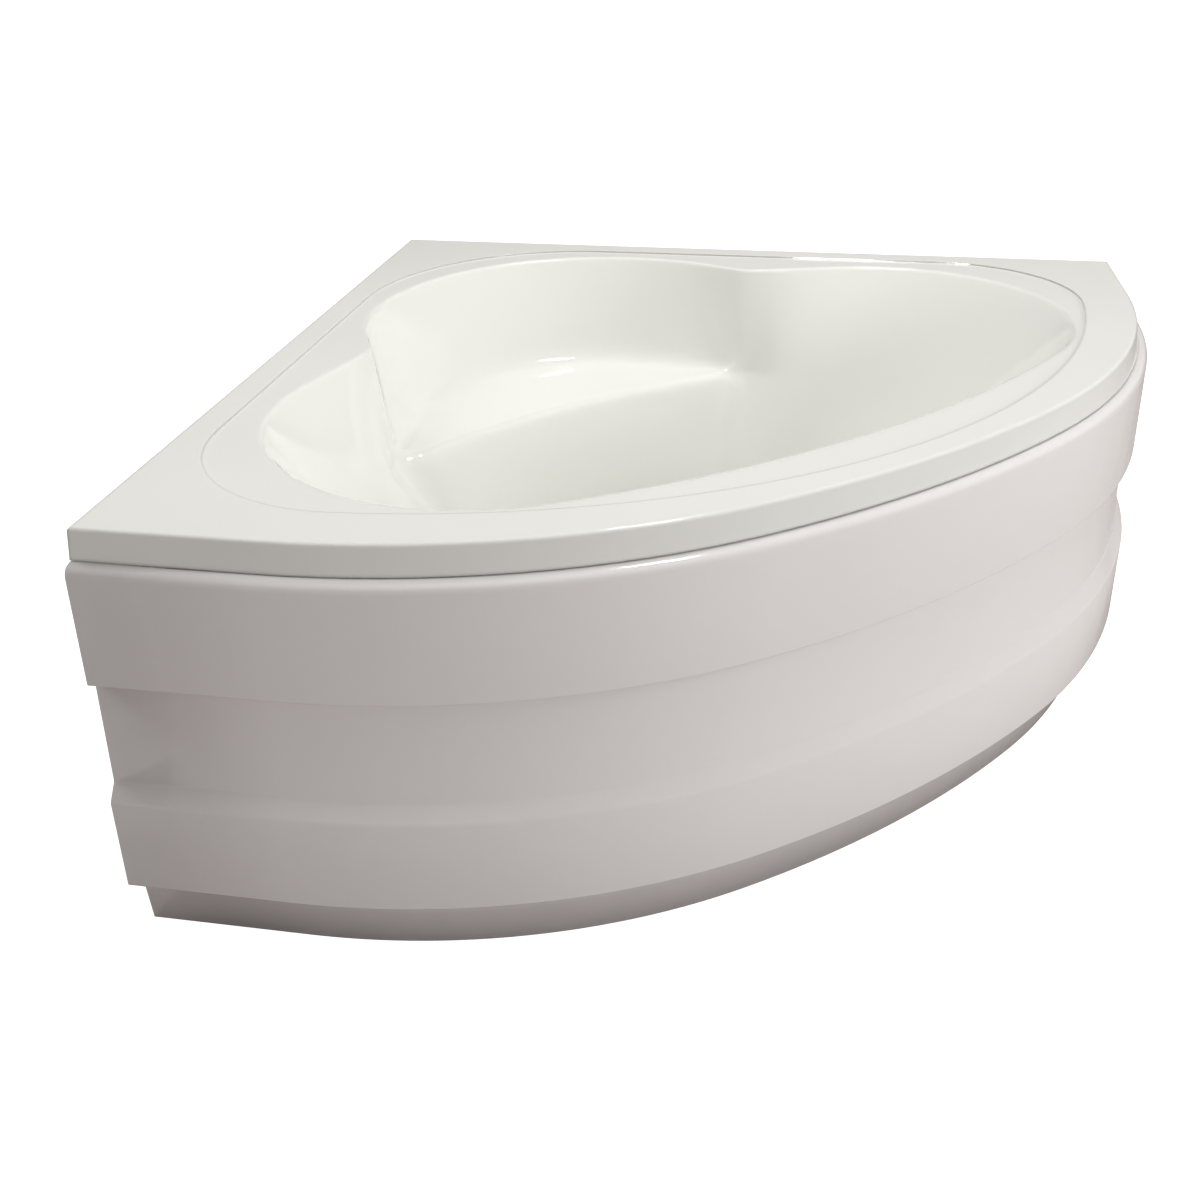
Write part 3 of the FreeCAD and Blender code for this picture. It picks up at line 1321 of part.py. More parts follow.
def front_wall(height):
    """Place along the diagonal of the basin's front wall, at a height."""
    spot = overflow_frame().Base
    lean = (value("floor_front") - spot.x * math.sqrt(2)) / (value("basin_floor") - spot.z)
    return value("floor_front") + (height - value("basin_floor")) * lean


def control_cable():
    """From the side of the overflow housing, beside its pipe, to the side of the waste body."""
    room = value("cable_room")
    out = value(f"{HOUSING_RADIUS} + joint_gap")
    along, high = overflow_point(0, value(PORT_LEVEL))
    waste = value("waste_place")
    side = value(f"{CUP_RADIUS} + joint_gap")
    low = value(PORT_HEIGHT)
    points = [(along, out, high), (along, out + 0.6 * room, high)]
    for fall, away, spread in CABLE_FALL:
        height = high - fall * (high - low)
        points.append((front_wall(height) + away * room, out + spread * room, height))
    points += [(waste + ahead * room, side + spread * room, low + rise * room)
               for ahead, spread, rise in CABLE_UNDER]
    bends = []
    spots = [diagonal_point(*spot) for spot in points]
    for index in range(1, len(spots) - 1):
        back = spots[index - 1] - spots[index]
        ahead = spots[index + 1] - spots[index]
        turn = math.pi - back.getAngle(ahead)
        bends.append(0.45 * min(back.Length, ahead.Length) / math.tan(turn / 2))
    print("control cable bends:", ", ".join(f"{bend:.0f}" for bend in bends))
    return pipe("control_cable", points, bends, value("cable_radius"), 0)


TRAP_TOP = f"({WASTE_FLOOR} - drain_tail)"
NUT_BORE = "(drain_radius + rod_clearance * 2)"
OUTLET_REACH = "(trap_length + trap_outlet_run)"
SPOUT = f"(waste_place - {OUTLET_REACH} - outlet_end)"


def trap():
    """Shallow water trap below the waste, its two union nuts and the outlet pipe."""
    waste = value("waste_place")
    top = value(f"{TRAP_TOP} - joint_gap")
    low = value("trap_bottom")
    high = value("trap_outlet")
    bend = value("trap_bend")
    radius = value("drain_radius")
    bore = value("drain_radius - drain_wall")
    turn = value("trap_turn")

    def swivelled(reach):
        """Place at a reach from the waste, along the swivelled trap."""
        way = math.radians(turn)
        return waste - reach * math.cos(way), reach * math.sin(way)

    back = swivelled(value("trap_length"))
    end = swivelled(value(OUTLET_REACH))
    pipe("trap_body", (
        (waste, 0, top), (waste, 0, low), (*back, low), (*back, high), (*end, high)),
        [bend] * 3, radius, bore)
    nut = turned("trap_nut", (
        (NUT_BORE, "0"), ("union_radius", "0"), ("union_radius", "union_length"),
        (NUT_BORE, "union_length")))
    named("trap_nut", seat_at(nut, "waste_place", "0", f"{TRAP_TOP} - union_length / 2"))
    ring = turned("outlet_nut", (
        (NUT_BORE, "-union_length / 2"), ("union_radius", "-union_length / 2"),
        ("union_radius", "union_length / 2"), (NUT_BORE, "union_length / 2")))
    collar = "(drain_radius + collar_rise)"
    spout = turned("outlet_pipe", (
        (PIPE_BORE, "joint_gap"), ("drain_radius", "joint_gap"),
        ("drain_radius", f"{SPOUT} - spigot - collar_length"),
        (collar, f"{SPOUT} - spigot - collar_length"), (collar, f"{SPOUT} - spigot"),
        ("drain_radius", f"{SPOUT} - spigot"), ("drain_radius", SPOUT), (PIPE_BORE, SPOUT)))
    spin = Rotation(Vector(0, 0, 1), -45 - turn) * Rotation(Vector(0, 1, 0), -90)
    for body in (ring, spout):
        seat_at(body, f"(waste_place - {OUTLET_REACH} * cos(trap_turn))",
                f"({OUTLET_REACH} * sin(trap_turn))", "trap_outlet")
        body.Placement.Rotation = spin
        named(body.Name, body)


# ---------------------------------------------------------------- the whole bath

tub_shell()
front_panel()
base_board()
seat_board()
cross_rail("back_rail", "back_rail_place", "back_rail_length")
cross_rail("front_rail", "front_rail_place", "front_rail_length")
seat_rail()
seat_post()
rail_screws()
foot_nuts("foot_weld_nuts", 1)
foot_nuts("foot_lock_nuts", 2)
feet()
for wall_side in ("left", "right"):
    rim_batten(wall_side)
    wall_bracket(wall_side, "bracket_near", f"wall_bracket_{wall_side}_near")
    wall_bracket(wall_side, "bracket_far", f"wall_bracket_{wall_side}_far")
bracket_screws()
clip_blocks()
panel_clips()
clip_screws()
panel_struts()
waste_flange()
pop_up_plug()
waste_gasket()
waste_body()
overflow_face()
overflow_knob()
overflow_gasket()
overflow_housing()
overflow_pipe()
control_cable()
trap()
doc.recompute()

faults = [item.Name for item in doc.Objects if {"Invalid", "Error"} & set(item.State)]
faults += [item.Label for item in parts if item.Shape.isNull() or not item.Shape.isValid()]
if faults:
    raise RuntimeError("These objects failed: " + ", ".join(faults))

os.makedirs("parts", exist_ok=True)
for item in parts:
    item.Shape.exportStep(f"parts/{item.Label}.step")
    print(f"{item.Label:24s} {len(item.Shape.Solids):3d} solids {item.Shape.Volume / 1000:12.1f} cm3")
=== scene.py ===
"""Corner bathtub: finishes, softened front panel, control cable and studio."""
import math

import bmesh
import bpy
from mathutils import Matrix, Vector


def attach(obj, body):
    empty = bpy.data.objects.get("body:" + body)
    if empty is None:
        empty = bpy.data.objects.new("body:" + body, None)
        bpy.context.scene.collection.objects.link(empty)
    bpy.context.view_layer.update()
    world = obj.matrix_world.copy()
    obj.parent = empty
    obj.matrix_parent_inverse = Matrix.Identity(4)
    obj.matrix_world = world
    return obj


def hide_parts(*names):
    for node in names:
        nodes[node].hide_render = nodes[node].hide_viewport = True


bl_info = {
    "name": "Corner bathtub",
    "version": (1, 0, 0),
    "blender": (4, 5, 0),
    "location": "3D View > Sidebar > Bathtub",
    "description": "Dresses the moulded corner bathtub and sets up its studio",
    "category": "Object",
}

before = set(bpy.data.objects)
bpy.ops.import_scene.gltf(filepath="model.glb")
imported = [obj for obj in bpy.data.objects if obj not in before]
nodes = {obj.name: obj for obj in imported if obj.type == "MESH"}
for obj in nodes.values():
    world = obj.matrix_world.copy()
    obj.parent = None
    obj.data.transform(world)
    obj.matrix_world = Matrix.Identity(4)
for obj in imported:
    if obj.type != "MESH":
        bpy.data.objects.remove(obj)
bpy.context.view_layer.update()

MM = 0.001
WHITE = (1.0, 1.0, 1.0, 1.0)
# The room corner, seen from the model's origin below the middle of the bath.
ROOM_CORNER = Vector((-0.769, 0.769, 0.0))


# ---------------------------------------------------------------- sizes and colours

class BathtubSizes(bpy.types.PropertyGroup):
    """Sizes of the pieces that are shaped here."""

    rim_side: bpy.props.FloatProperty(
        name="Rim side", description="Rim along each wall",
        default=1.5, unit="LENGTH")
    straight_return: bpy.props.FloatProperty(
        name="Straight return", description="Straight front beside each wall",
        default=0.245, unit="LENGTH")
    shoulder_radius: bpy.props.FloatProperty(
        name="Shoulder radius", description="Front curve next to the straight part",
        default=1.066, unit="LENGTH")
    shoulder_turn: bpy.props.FloatProperty(
        name="Shoulder turn", description="How far the shoulder curve turns",
        default=math.radians(35.8), subtype="ANGLE", unit="ROTATION")
    panel_sheet: bpy.props.FloatProperty(
        name="Panel sheet", description="Thickness of the front panel's moulded sheet",
        default=0.0036, unit="LENGTH")
    panel_rounding: bpy.props.FloatProperty(
        name="Panel rounding", description="Rounding of the panel's moulded edges",
        default=0.004, unit="LENGTH")
    curve_steps: bpy.props.IntProperty(
        name="Curve steps", description="Faces along each shoulder curve of the panel",
        default=40, min=8)
    cable_radius: bpy.props.FloatProperty(
        name="Cable radius", description="Outside radius of the pop-up control cable",
        default=0.0025, unit="LENGTH")


class BathtubColours(bpy.types.PropertyGroup):
    """Colours of the finishes."""

    def _colour(name, description, default):
        return bpy.props.FloatVectorProperty(
            name=name, description=description, default=default,
            subtype="COLOR", size=3, min=0.0, max=1.0)

    acrylic: _colour("Tub acrylic", "Gloss sanitary acrylic of the tub", (0.815, 0.822, 0.785))
    panel: _colour("Panel acrylic", "Gloss acrylic of the front panel", (0.80, 0.785, 0.775))
    board: _colour("Board", "Pressed wood board", (0.46, 0.31, 0.17))
    timber: _colour("Timber", "Planed softwood batten", (0.62, 0.42, 0.22))
    zinc: _colour("Zinc", "Zinc-plated tube", (0.60, 0.61, 0.62))
    bright_steel: _colour("Bright steel", "Plated screws, nuts and rods", (0.66, 0.66, 0.64))
    spring_steel: _colour("Spring steel", "Clips that hold the panel", (0.34, 0.34, 0.36))
    chrome_deep: _colour("Chrome, deep", "Darker tone of the chrome", (0.60, 0.61, 0.63))
    chrome_bright: _colour("Chrome, bright", "Paler tone of the chrome", (0.70, 0.71, 0.72))
    white_plastic: _colour("White plastic", "Moulded white fittings", (0.80, 0.80, 0.78))
    grey_plastic: _colour("Grey plastic", "Moulded grey nuts and pipe", (0.30, 0.31, 0.32))
    black_plastic: _colour("Black plastic", "Foot pads and strut stops", (0.022, 0.022, 0.024))
    rubber: _colour("Rubber", "Seal and gaskets", (0.03, 0.03, 0.032))
    sheath: _colour("Cable sheath", "Sheath of the control cable", (0.045, 0.045, 0.05))
    floor: _colour("Floor", "Studio floor", (0.56, 0.52, 0.51))


# ---------------------------------------------------------------- shader helpers

def surface_group(name, inputs, outputs):
    """A new shader group with float inputs and named outputs."""
    group = bpy.data.node_groups.new(name, "ShaderNodeTree")
    for label, default in inputs:
        socket = group.interface.new_socket(name=label, in_out="INPUT",
                                            socket_type="NodeSocketFloat")
        socket.default_value = default
    for label, kind in outputs:
        group.interface.new_socket(name=label, in_out="OUTPUT", socket_type=kind)
    return group, group.nodes.new("NodeGroupInput"), group.nodes.new("NodeGroupOutput")


def gloss_film_group():
    """Faint waviness, wiping marks and softened edges for a glossy surface."""
    group, given, out = surface_group(
        "GlossFilm",
        (("Ripple Scale", 60.0), ("Ripple Height", 0.02), ("Roughness", 0.1), ("Film", 0.04),
         ("Edge Radius", 0.001)),
        (("Roughness", "NodeSocketFloat"), ("Normal", "NodeSocketVector")))
    add, link = group.nodes.new, group.links.new
    place = add("ShaderNodeTexCoord")
    ripple = add("ShaderNodeTexNoise")
    ripple.inputs["Detail"].default_value = 2.0
    link(place.outputs["Object"], ripple.inputs["Vector"])
    link(given.outputs["Ripple Scale"], ripple.inputs["Scale"])
    bump = add("ShaderNodeBump")
    bump.inputs["Distance"].default_value = 0.001
    link(given.outputs["Ripple Height"], bump.inputs["Strength"])
    link(ripple.outputs["Fac"], bump.inputs["Height"])
    soft = add("ShaderNodeBevel")
    soft.samples = 6
    link(given.outputs["Edge Radius"], soft.inputs["Radius"])
    link(soft.outputs["Normal"], bump.inputs["Normal"])
    stretch = add("ShaderNodeMapping")
    stretch.inputs["Scale"].default_value = (1.0, 3.5, 1.6)
    stretch.inputs["Rotation"].default_value = (0.2, 0.4, 0.7)
    link(place.outputs["Object"], stretch.inputs["Vector"])
    wipe = add("ShaderNodeTexNoise")
    wipe.inputs["Scale"].default_value = 7.0
    wipe.inputs["Detail"].default_value = 7.0
    wipe.inputs["Roughness"].default_value = 0.62
    link(stretch.outputs["Vector"], wipe.inputs["Vector"])
    spread = add("ShaderNodeMapRange")
    spread.inputs["From Min"].default_value = 0.42
    spread.inputs["From Max"].default_value = 0.72
    link(wipe.outputs["Fac"], spread.inputs["Value"])
    film = add("ShaderNodeMath")
    film.operation = "MULTIPLY_ADD"
    link(spread.outputs["Result"], film.inputs[0])
    link(given.outputs["Film"], film.inputs[1])
    link(given.outputs["Roughness"], film.inputs[2])
    link(film.outputs["Value"], out.inputs["Roughness"])
    link(bump.outputs["Normal"], out.inputs["Normal"])
    return group


def mottle_group():
    """Two scales of soft mottling, for moulded plastic, rubber and plated steel."""
    group, given, out = surface_group(
        "Mottle",
        (("Patch Scale", 25.0), ("Grain Scale", 900.0), ("Grain Height", 0.1)),
        (("Patches", "NodeSocketFloat"), ("Grain", "NodeSocketFloat"),
         ("Normal", "NodeSocketVector")))
    add, link = group.nodes.new, group.links.new
    place = add("ShaderNodeTexCoord")
    found = []
    for scale, detail in (("Patch Scale", 5.0), ("Grain Scale", 3.0)):
        noise = add("ShaderNodeTexNoise")
        noise.inputs["Detail"].default_value = detail
        link(place.outputs["Object"], noise.inputs["Vector"])
        link(given.outputs[scale], noise.inputs["Scale"])
        found.append(noise)
    bump = add("ShaderNodeBump")
    bump.inputs["Distance"].default_value = 0.0005
    link(given.outputs["Grain Height"], bump.inputs["Strength"])
    link(found[1].outputs["Fac"], bump.inputs["Height"])
    link(found[0].outputs["Fac"], out.inputs["Patches"])
    link(found[1].outputs["Fac"], out.inputs["Grain"])
    link(bump.outputs["Normal"], out.inputs["Normal"])
    return group


def wood_group():
    """Long grain with growth lines, for planed softwood laid along X or Y."""
    group, given, out = surface_group(
        "WoodGrain",
        (("Along X", 1.0), ("Along Y", 1.0), ("Line Scale", 60.0)),
        (("Lines", "NodeSocketFloat"), ("Fibres", "NodeSocketFloat"),
         ("Normal", "NodeSocketVector")))
    add, link = group.nodes.new, group.links.new
    place = add("ShaderNodeTexCoord")
    lay = add("ShaderNodeCombineXYZ")
    lay.inputs["Z"].default_value = 1.0
    link(given.outputs["Along X"], lay.inputs["X"])
    link(given.outputs["Along Y"], lay.inputs["Y"])
    stretch = add("ShaderNodeVectorMath")
    stretch.operation = "MULTIPLY"
    link(place.outputs["Object"], stretch.inputs[0])
    link(lay.outputs["Vector"], stretch.inputs[1])
    lines = add("ShaderNodeTexWave")
    lines.wave_type = "RINGS"
    lines.rings_direction = "SPHERICAL"
    lines.inputs["Distortion"].default_value = 5.0
    lines.inputs["Detail"].default_value = 3.0
    link(stretch.outputs["Vector"], lines.inputs["Vector"])
    link(given.outputs["Line Scale"], lines.inputs["Scale"])
    fibres = add("ShaderNodeTexNoise")
    fibres.inputs["Scale"].default_value = 420.0
    fibres.inputs["Detail"].default_value = 4.0
    link(stretch.outputs["Vector"], fibres.inputs["Vector"])
    bump = add("ShaderNodeBump")
    bump.inputs["Strength"].default_value = 0.35
    bump.inputs["Distance"].default_value = 0.0004
    link(fibres.outputs["Fac"], bump.inputs["Height"])
    link(lines.outputs["Fac"], out.inputs["Lines"])
    link(fibres.outputs["Fac"], out.inputs["Fibres"])
    link(bump.outputs["Normal"], out.inputs["Normal"])
    return group


def material(slot, **fixed):
    """A new material with a Principled shader; the fixed values go on its own sockets."""
    made = bpy.data.materials.new(slot)
    made.use_nodes = True
    shader = made.node_tree.nodes["Principled BSDF"]
    for name, number in fixed.items():
        shader.inputs[name.replace("_", " ").title().replace("Ior", "IOR")].default_value = number
    return made, shader


def placed(made, group, **values):
    """A shader group put into a material, with the values on its inputs."""
    node = made.node_tree.nodes.new("ShaderNodeGroup")
    node.node_tree = bpy.data.node_groups[group]
    for name, number in values.items():
        node.inputs[name.replace("_", " ").title()].default_value = number
    return node


def blend_colours(made, mask, low, high, reach=(0.3, 0.7)):
    """A colour that goes from low to high as the mask goes through its reach."""
    ramp = made.node_tree.nodes.new("ShaderNodeValToRGB")
    ramp.color_ramp.elements[0].position = reach[0]
    ramp.color_ramp.elements[0].color = (*low, 1.0)
    ramp.color_ramp.elements[1].position = reach[1]
    ramp.color_ramp.elements[1].color = (*high, 1.0)
    made.node_tree.links.new(mask, ramp.inputs["Fac"])
    return ramp.outputs["Color"]


def spread_value(made, mask, low, high, reach=(0.3, 0.7)):
    """A number that goes from low to high as the mask goes through its reach."""
    spread = made.node_tree.nodes.new("ShaderNodeMapRange")
    spread.inputs["From Min"].default_value = reach[0]
    spread.inputs["From Max"].default_value = reach[1]
    spread.inputs["To Min"].default_value = low
    spread.inputs["To Max"].default_value = high
    made.node_tree.links.new(mask, spread.inputs["Value"])
    return spread.outputs["Result"]


def shade(colour, by):
    """A lighter or darker colour, no brighter than white."""
    return tuple(min(1.0, channel * by) for channel in colour)


# ---------------------------------------------------------------- finishes

def acrylic_finish(slot, colour, ripple, roughness, edge_radius):
    """Gloss acrylic: clear top layer, faint ripple, wiping marks and soft edges."""
    made, shader = material(slot, coat_weight=0.35, coat_roughness=0.04, ior=1.49)
    link = made.node_tree.links.new
    film = placed(made, "GlossFilm", ripple_scale=26.0, ripple_height=ripple,
                  roughness=roughness, film=0.05, edge_radius=edge_radius)
    tone = placed(made, "Mottle", patch_scale=3.0, grain_scale=320.0, grain_height=0.0)
    link(blend_colours(made, tone.outputs["Patches"], shade(colour, 0.985), shade(colour, 1.01)),
         shader.inputs["Base Color"])
    link(film.outputs["Roughness"], shader.inputs["Roughness"])
    link(film.outputs["Normal"], shader.inputs["Normal"])
    return made


def plastic_finish(slot, colour, roughness, grain=0.12, worn=1.08):
    """Moulded plastic or rubber with fine grain and slightly uneven colour."""
    made, shader = material(slot, ior=1.5)
    link = made.node_tree.links.new
    skin = placed(made, "Mottle", patch_scale=30.0, grain_scale=1400.0, grain_height=grain)
    link(blend_colours(made, skin.outputs["Patches"], shade(colour, 0.9), shade(colour, worn)),
         shader.inputs["Base Color"])
    link(spread_value(made, skin.outputs["Grain"], roughness - 0.06, roughness + 0.1),
         shader.inputs["Roughness"])
    link(skin.outputs["Normal"], shader.inputs["Normal"])
    return made


def steel_finish(slot, colour, roughness, spangle, grain):
    """Bare or plated steel: cloudy patches over fine grain."""
    made, shader = material(slot, metallic=1.0)
    link = made.node_tree.links.new
    skin = placed(made, "Mottle", patch_scale=spangle, grain_scale=1800.0, grain_height=grain)
    link(blend_colours(made, skin.outputs["Patches"], shade(colour, 0.78), shade(colour, 1.1)),
         shader.inputs["Base Color"])
    link(spread_value(made, skin.outputs["Patches"], roughness + 0.12, roughness - 0.04),
         shader.inputs["Roughness"])
    link(skin.outputs["Normal"], shader.inputs["Normal"])
    return made


def chrome_finish(slot, deep, bright):
    """Bright chrome plating with faint wiping marks."""
    made, shader = material(slot, metallic=1.0)
    link = made.node_tree.links.new
    film = placed(made, "GlossFilm", ripple_scale=90.0, ripple_height=0.015,
                  roughness=0.05, film=0.09)
    tone = placed(made, "Mottle", patch_scale=40.0, grain_scale=900.0, grain_height=0.0)
    link(blend_colours(made, tone.outputs["Patches"], deep, bright),
         shader.inputs["Base Color"])
    link(film.outputs["Roughness"], shader.inputs["Roughness"])
    link(film.outputs["Normal"], shader.inputs["Normal"])
    return made


def board_finish(slot, colour):
    """Pressed board: pale and dark chips."""
    made, shader = material(slot)
    link = made.node_tree.links.new
    add = made.node_tree.nodes.new
    place = add("ShaderNodeTexCoord")
    chips = add("ShaderNodeTexVoronoi")
    chips.inputs["Scale"].default_value = 260.0
    chips.inputs["Randomness"].default_value = 1.0
    link(place.outputs["Object"], chips.inputs["Vector"])
    tone = add("ShaderNodeSeparateColor")
    link(chips.outputs["Color"], tone.inputs["Color"])
    link(blend_colours(made, tone.outputs["Red"], shade(colour, 0.55), shade(colour, 1.35),
                       (0.1, 0.9)), shader.inputs["Base Color"])
    bump = add("ShaderNodeBump")
    bump.inputs["Strength"].default_value = 0.5
    bump.inputs["Distance"].default_value = 0.0006
    link(tone.outputs["Green"], bump.inputs["Height"])
    link(bump.outputs["Normal"], shader.inputs["Normal"])
    link(spread_value(made, tone.outputs["Blue"], 0.6, 0.85), shader.inputs["Roughness"])
    return made


def timber_finish(slot, colour, along_x, along_y):
    """Planed softwood; the grain runs along the axis with the smaller share."""
    made, shader = material(slot)
    link = made.node_tree.links.new
    wood = placed(made, "WoodGrain", along_x=along_x, along_y=along_y, line_scale=34.0)
    link(blend_colours(made, wood.outputs["Lines"], shade(colour, 0.62), shade(colour, 1.12)),
         shader.inputs["Base Color"])
    link(spread_value(made, wood.outputs["Fibres"], 0.5, 0.72), shader.inputs["Roughness"])
    link(wood.outputs["Normal"], shader.inputs["Normal"])
    return made


def finish(made, names):
    """Give CAD nodes their finish."""
    for name in names:
        piece = nodes[name]
        piece.data.materials.clear()
        piece.data.materials.append(made)


# ---------------------------------------------------------------- mesh helpers

def piece_from(mesh, name, made, body):
    """A finished piece at the origin that rides on a body."""
    data = bpy.data.meshes.new(name)
    mesh.to_mesh(data)
    mesh.free()
    data.materials.append(made)
    piece = bpy.data.objects.new(name, data)
    bpy.context.scene.collection.objects.link(piece)
    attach(piece, body)
    return piece


def colours():
    """The scene's colours of the finishes."""
    return bpy.context.scene.bathtub_colours


def sizes():
    """The scene's sizes of the pieces that are shaped here."""
    return bpy.context.scene.bathtub_sizes


# ---------------------------------------------------------------- pieces

class BATHTUB_OT_finish_groups(bpy.types.Operator):
    """Build the shader groups that the finishes share."""

    bl_idname = "bathtub.finish_groups"
    bl_label = "Shared Finishes"

    def execute(self, context):
        gloss_film_group()
        mottle_group()
        wood_group()
        return {"FINISHED"}


class BATHTUB_OT_tub(bpy.types.Operator):
    """Give the moulded tub its gloss acrylic."""

    bl_idname = "bathtub.tub"
    bl_label = "Tub"

    def execute(self, context):
        made = acrylic_finish("tub_gloss_acrylic", colours().acrylic,
                              ripple=0.012, roughness=0.05, edge_radius=0.007)
        finish(made, ["tub_shell"])
        return {"FINISHED"}


class BATHTUB_OT_front_panel(bpy.types.Operator):
    """Mould the tiered front panel with softened edges."""

    bl_idname = "bathtub.front_panel"
    bl_label = "Front Panel"

    # Corners of the outer face: reach beyond the rim and height in mm, and the
    # rounding as a share of the panel's.
    CORNERS = (
        (-36, 600, 0.0), (4, 600, 1.0), (13.8, 596.4, 1.0), (18, 588, 1.0),
        (24, 427, 0.8), (6, 427, 0.6), (15, 266, 1.0), (34, 243, 1.0),
        (38, 98, 0.8), (2, 98, 0.6), (-6, 0, 0.0))

    def execute(self, context):
        size = sizes()
        made = acrylic_finish("panel_gloss_acrylic", colours().panel,
                              ripple=0.012, roughness=0.06, edge_radius=0.001)
        mesh = bmesh.new()
        chain = [mesh.verts.new((0.0, -size.rim_side - reach * MM, height * MM))
                 for reach, height, _ in self.CORNERS]
        for upper, lower in zip(chain, chain[1:]):
            mesh.edges.new((upper, lower))
        for corner, (_, _, share) in zip(chain, self.CORNERS):
            if share:
                bmesh.ops.bevel(mesh, geom=[corner], offset=size.panel_rounding * share,
                                affect="VERTICES", segments=4, profile=0.5, material=-1)
        front = self.swept(mesh, size)
        bmesh.ops.recalc_face_normals(mesh, faces=mesh.faces)
        outward = Vector((1, -1, 0))
        middle = max(mesh.faces, key=lambda face: face.calc_center_median().dot(outward))
        if middle.normal.dot(outward) < 0:
            bmesh.ops.reverse_faces(mesh, faces=mesh.faces)
        for face in mesh.faces:
            face.smooth = True
        bmesh.ops.translate(mesh, verts=mesh.verts, vec=ROOM_CORNER)
        panel = piece_from(mesh, "front_panel_moulding", made, "front_panel")
        sheet = panel.modifiers.new("Sheet", "SOLIDIFY")
        sheet.thickness = size.panel_sheet
        sheet.offset = -1.0
        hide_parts("front_panel")
        return {"FINISHED"}

    @staticmethod
    def swept(mesh, size):
        """Carry the outline along the straight returns, the shoulders and the middle."""
        def carried(edges, vector):
            moved = bmesh.ops.extrude_edge_only(mesh, edges=edges)["geom"]
            verts = [part for part in moved if isinstance(part, bmesh.types.BMVert)]
            bmesh.ops.translate(mesh, verts=verts, vec=vector)
            return [part for part in moved if isinstance(part, bmesh.types.BMEdge)]

        def turned(edges, centre, angle, steps):
            verts = {vert for edge in edges for vert in edge.verts}
            made = bmesh.ops.spin(mesh, geom=[*verts, *edges], cent=centre, axis=(0, 0, 1),
                                  dvec=(0, 0, 0), angle=angle, steps=steps, use_merge=False,
                                  use_normal_flip=False, use_duplicate=False)["geom_last"]
            return [part for part in made if isinstance(part, bmesh.types.BMEdge)]

        inner = size.rim_side - size.shoulder_radius
        start = size.straight_return
        turn = size.shoulder_turn
        middle_turn = math.pi / 2 - 2 * turn
        # the middle arc meets both shoulders, so its centre lies on the diagonal
        slack = (inner - start) / (math.cos(turn) - math.sin(turn))
        centre = start - slack * math.sin(turn)
        edges = carried(list(mesh.edges), (start, 0, 0))
        edges = turned(edges, (start, -inner, 0), turn, size.curve_steps)
        edges = turned(edges, (centre, -centre, 0), middle_turn, size.curve_steps // 2)
        edges = turned(edges, (inner, -start, 0), turn, size.curve_steps)
        return carried(edges, (0, start, 0))


class BATHTUB_OT_cradle(bpy.types.Operator):
    """Finish the boards, battens, rails, post and struts under the tub."""

    bl_idname = "bathtub.cradle"
    bl_label = "Cradle"

    def execute(self, context):
        colour = colours()
        finish(board_finish("pressed_board", colour.board), ["base_board", "seat_board"])
        finish(timber_finish("batten_along_wall_right", colour.timber,
                             along_x=0.06, along_y=1.0),
               ["rim_batten_right"])
        finish(timber_finish("batten_along_wall_left", colour.timber,
                             along_x=1.0, along_y=0.06),
               ["rim_batten_left", "clip_blocks"])
        finish(steel_finish("zinc_tube", colour.zinc, roughness=0.34, spangle=55.0, grain=0.08),
               ["back_rail", "front_rail", "seat_rail", "seat_post",
                "panel_strut_left", "panel_strut_right"])
        return {"FINISHED"}


class BATHTUB_OT_fixings(bpy.types.Operator):
    """Finish the screws, nuts, feet, wall brackets and panel clips."""

    bl_idname = "bathtub.fixings"
    bl_label = "Fixings"

    def execute(self, context):
        colour = colours()
        rods, pads, brackets, clips = (
            [name for name in nodes if name.startswith(start)]
            for start in ("foot_rod_", "foot_pad_", "wall_bracket_", "panel_clip_"))
        finish(steel_finish("bright_plated_steel", colour.bright_steel,
                            roughness=0.24, spangle=120.0, grain=0.05),
               ["rail_screws", "bracket_screws", "clip_screws", "foot_weld_nuts",
                "foot_lock_nuts", *rods])
        finish(plastic_finish("black_moulding", colour.black_plastic, roughness=0.46),
               [*pads, "strut_stop_left", "strut_stop_right"])
        finish(steel_finish("bracket_plate", shade(colour.zinc, 0.95),
                            roughness=0.3, spangle=80.0, grain=0.06), brackets)
        finish(steel_finish("spring_steel", colour.spring_steel,
                            roughness=0.28, spangle=140.0, grain=0.05), clips)
        return {"FINISHED"}


class BATHTUB_OT_waste_and_overflow(bpy.types.Operator):
    """Finish the chrome waste, plug and overflow with their gaskets and housings."""

    bl_idname = "bathtub.waste_and_overflow"
    bl_label = "Waste and Overflow"

    def execute(self, context):
        colour = colours()
        finish(chrome_finish("bright_chrome", colour.chrome_deep, colour.chrome_bright),
               ["waste_flange", "plug_cap", "overflow_face", "overflow_knob"])
        finish(plastic_finish("seal_rubber", colour.rubber, roughness=0.62, grain=0.2),
               ["plug_seal", "waste_gasket", "overflow_gasket"])
        finish(plastic_finish("white_moulding", colour.white_plastic,
                              roughness=0.36, grain=0.08, worn=1.02),
               ["waste_body", "overflow_housing", "trap_body", "outlet_pipe"])
        finish(plastic_finish("grey_moulding", colour.grey_plastic, roughness=0.4, grain=0.1),
               ["trap_nut", "outlet_nut", "overflow_pipe"])
        return {"FINISHED"}


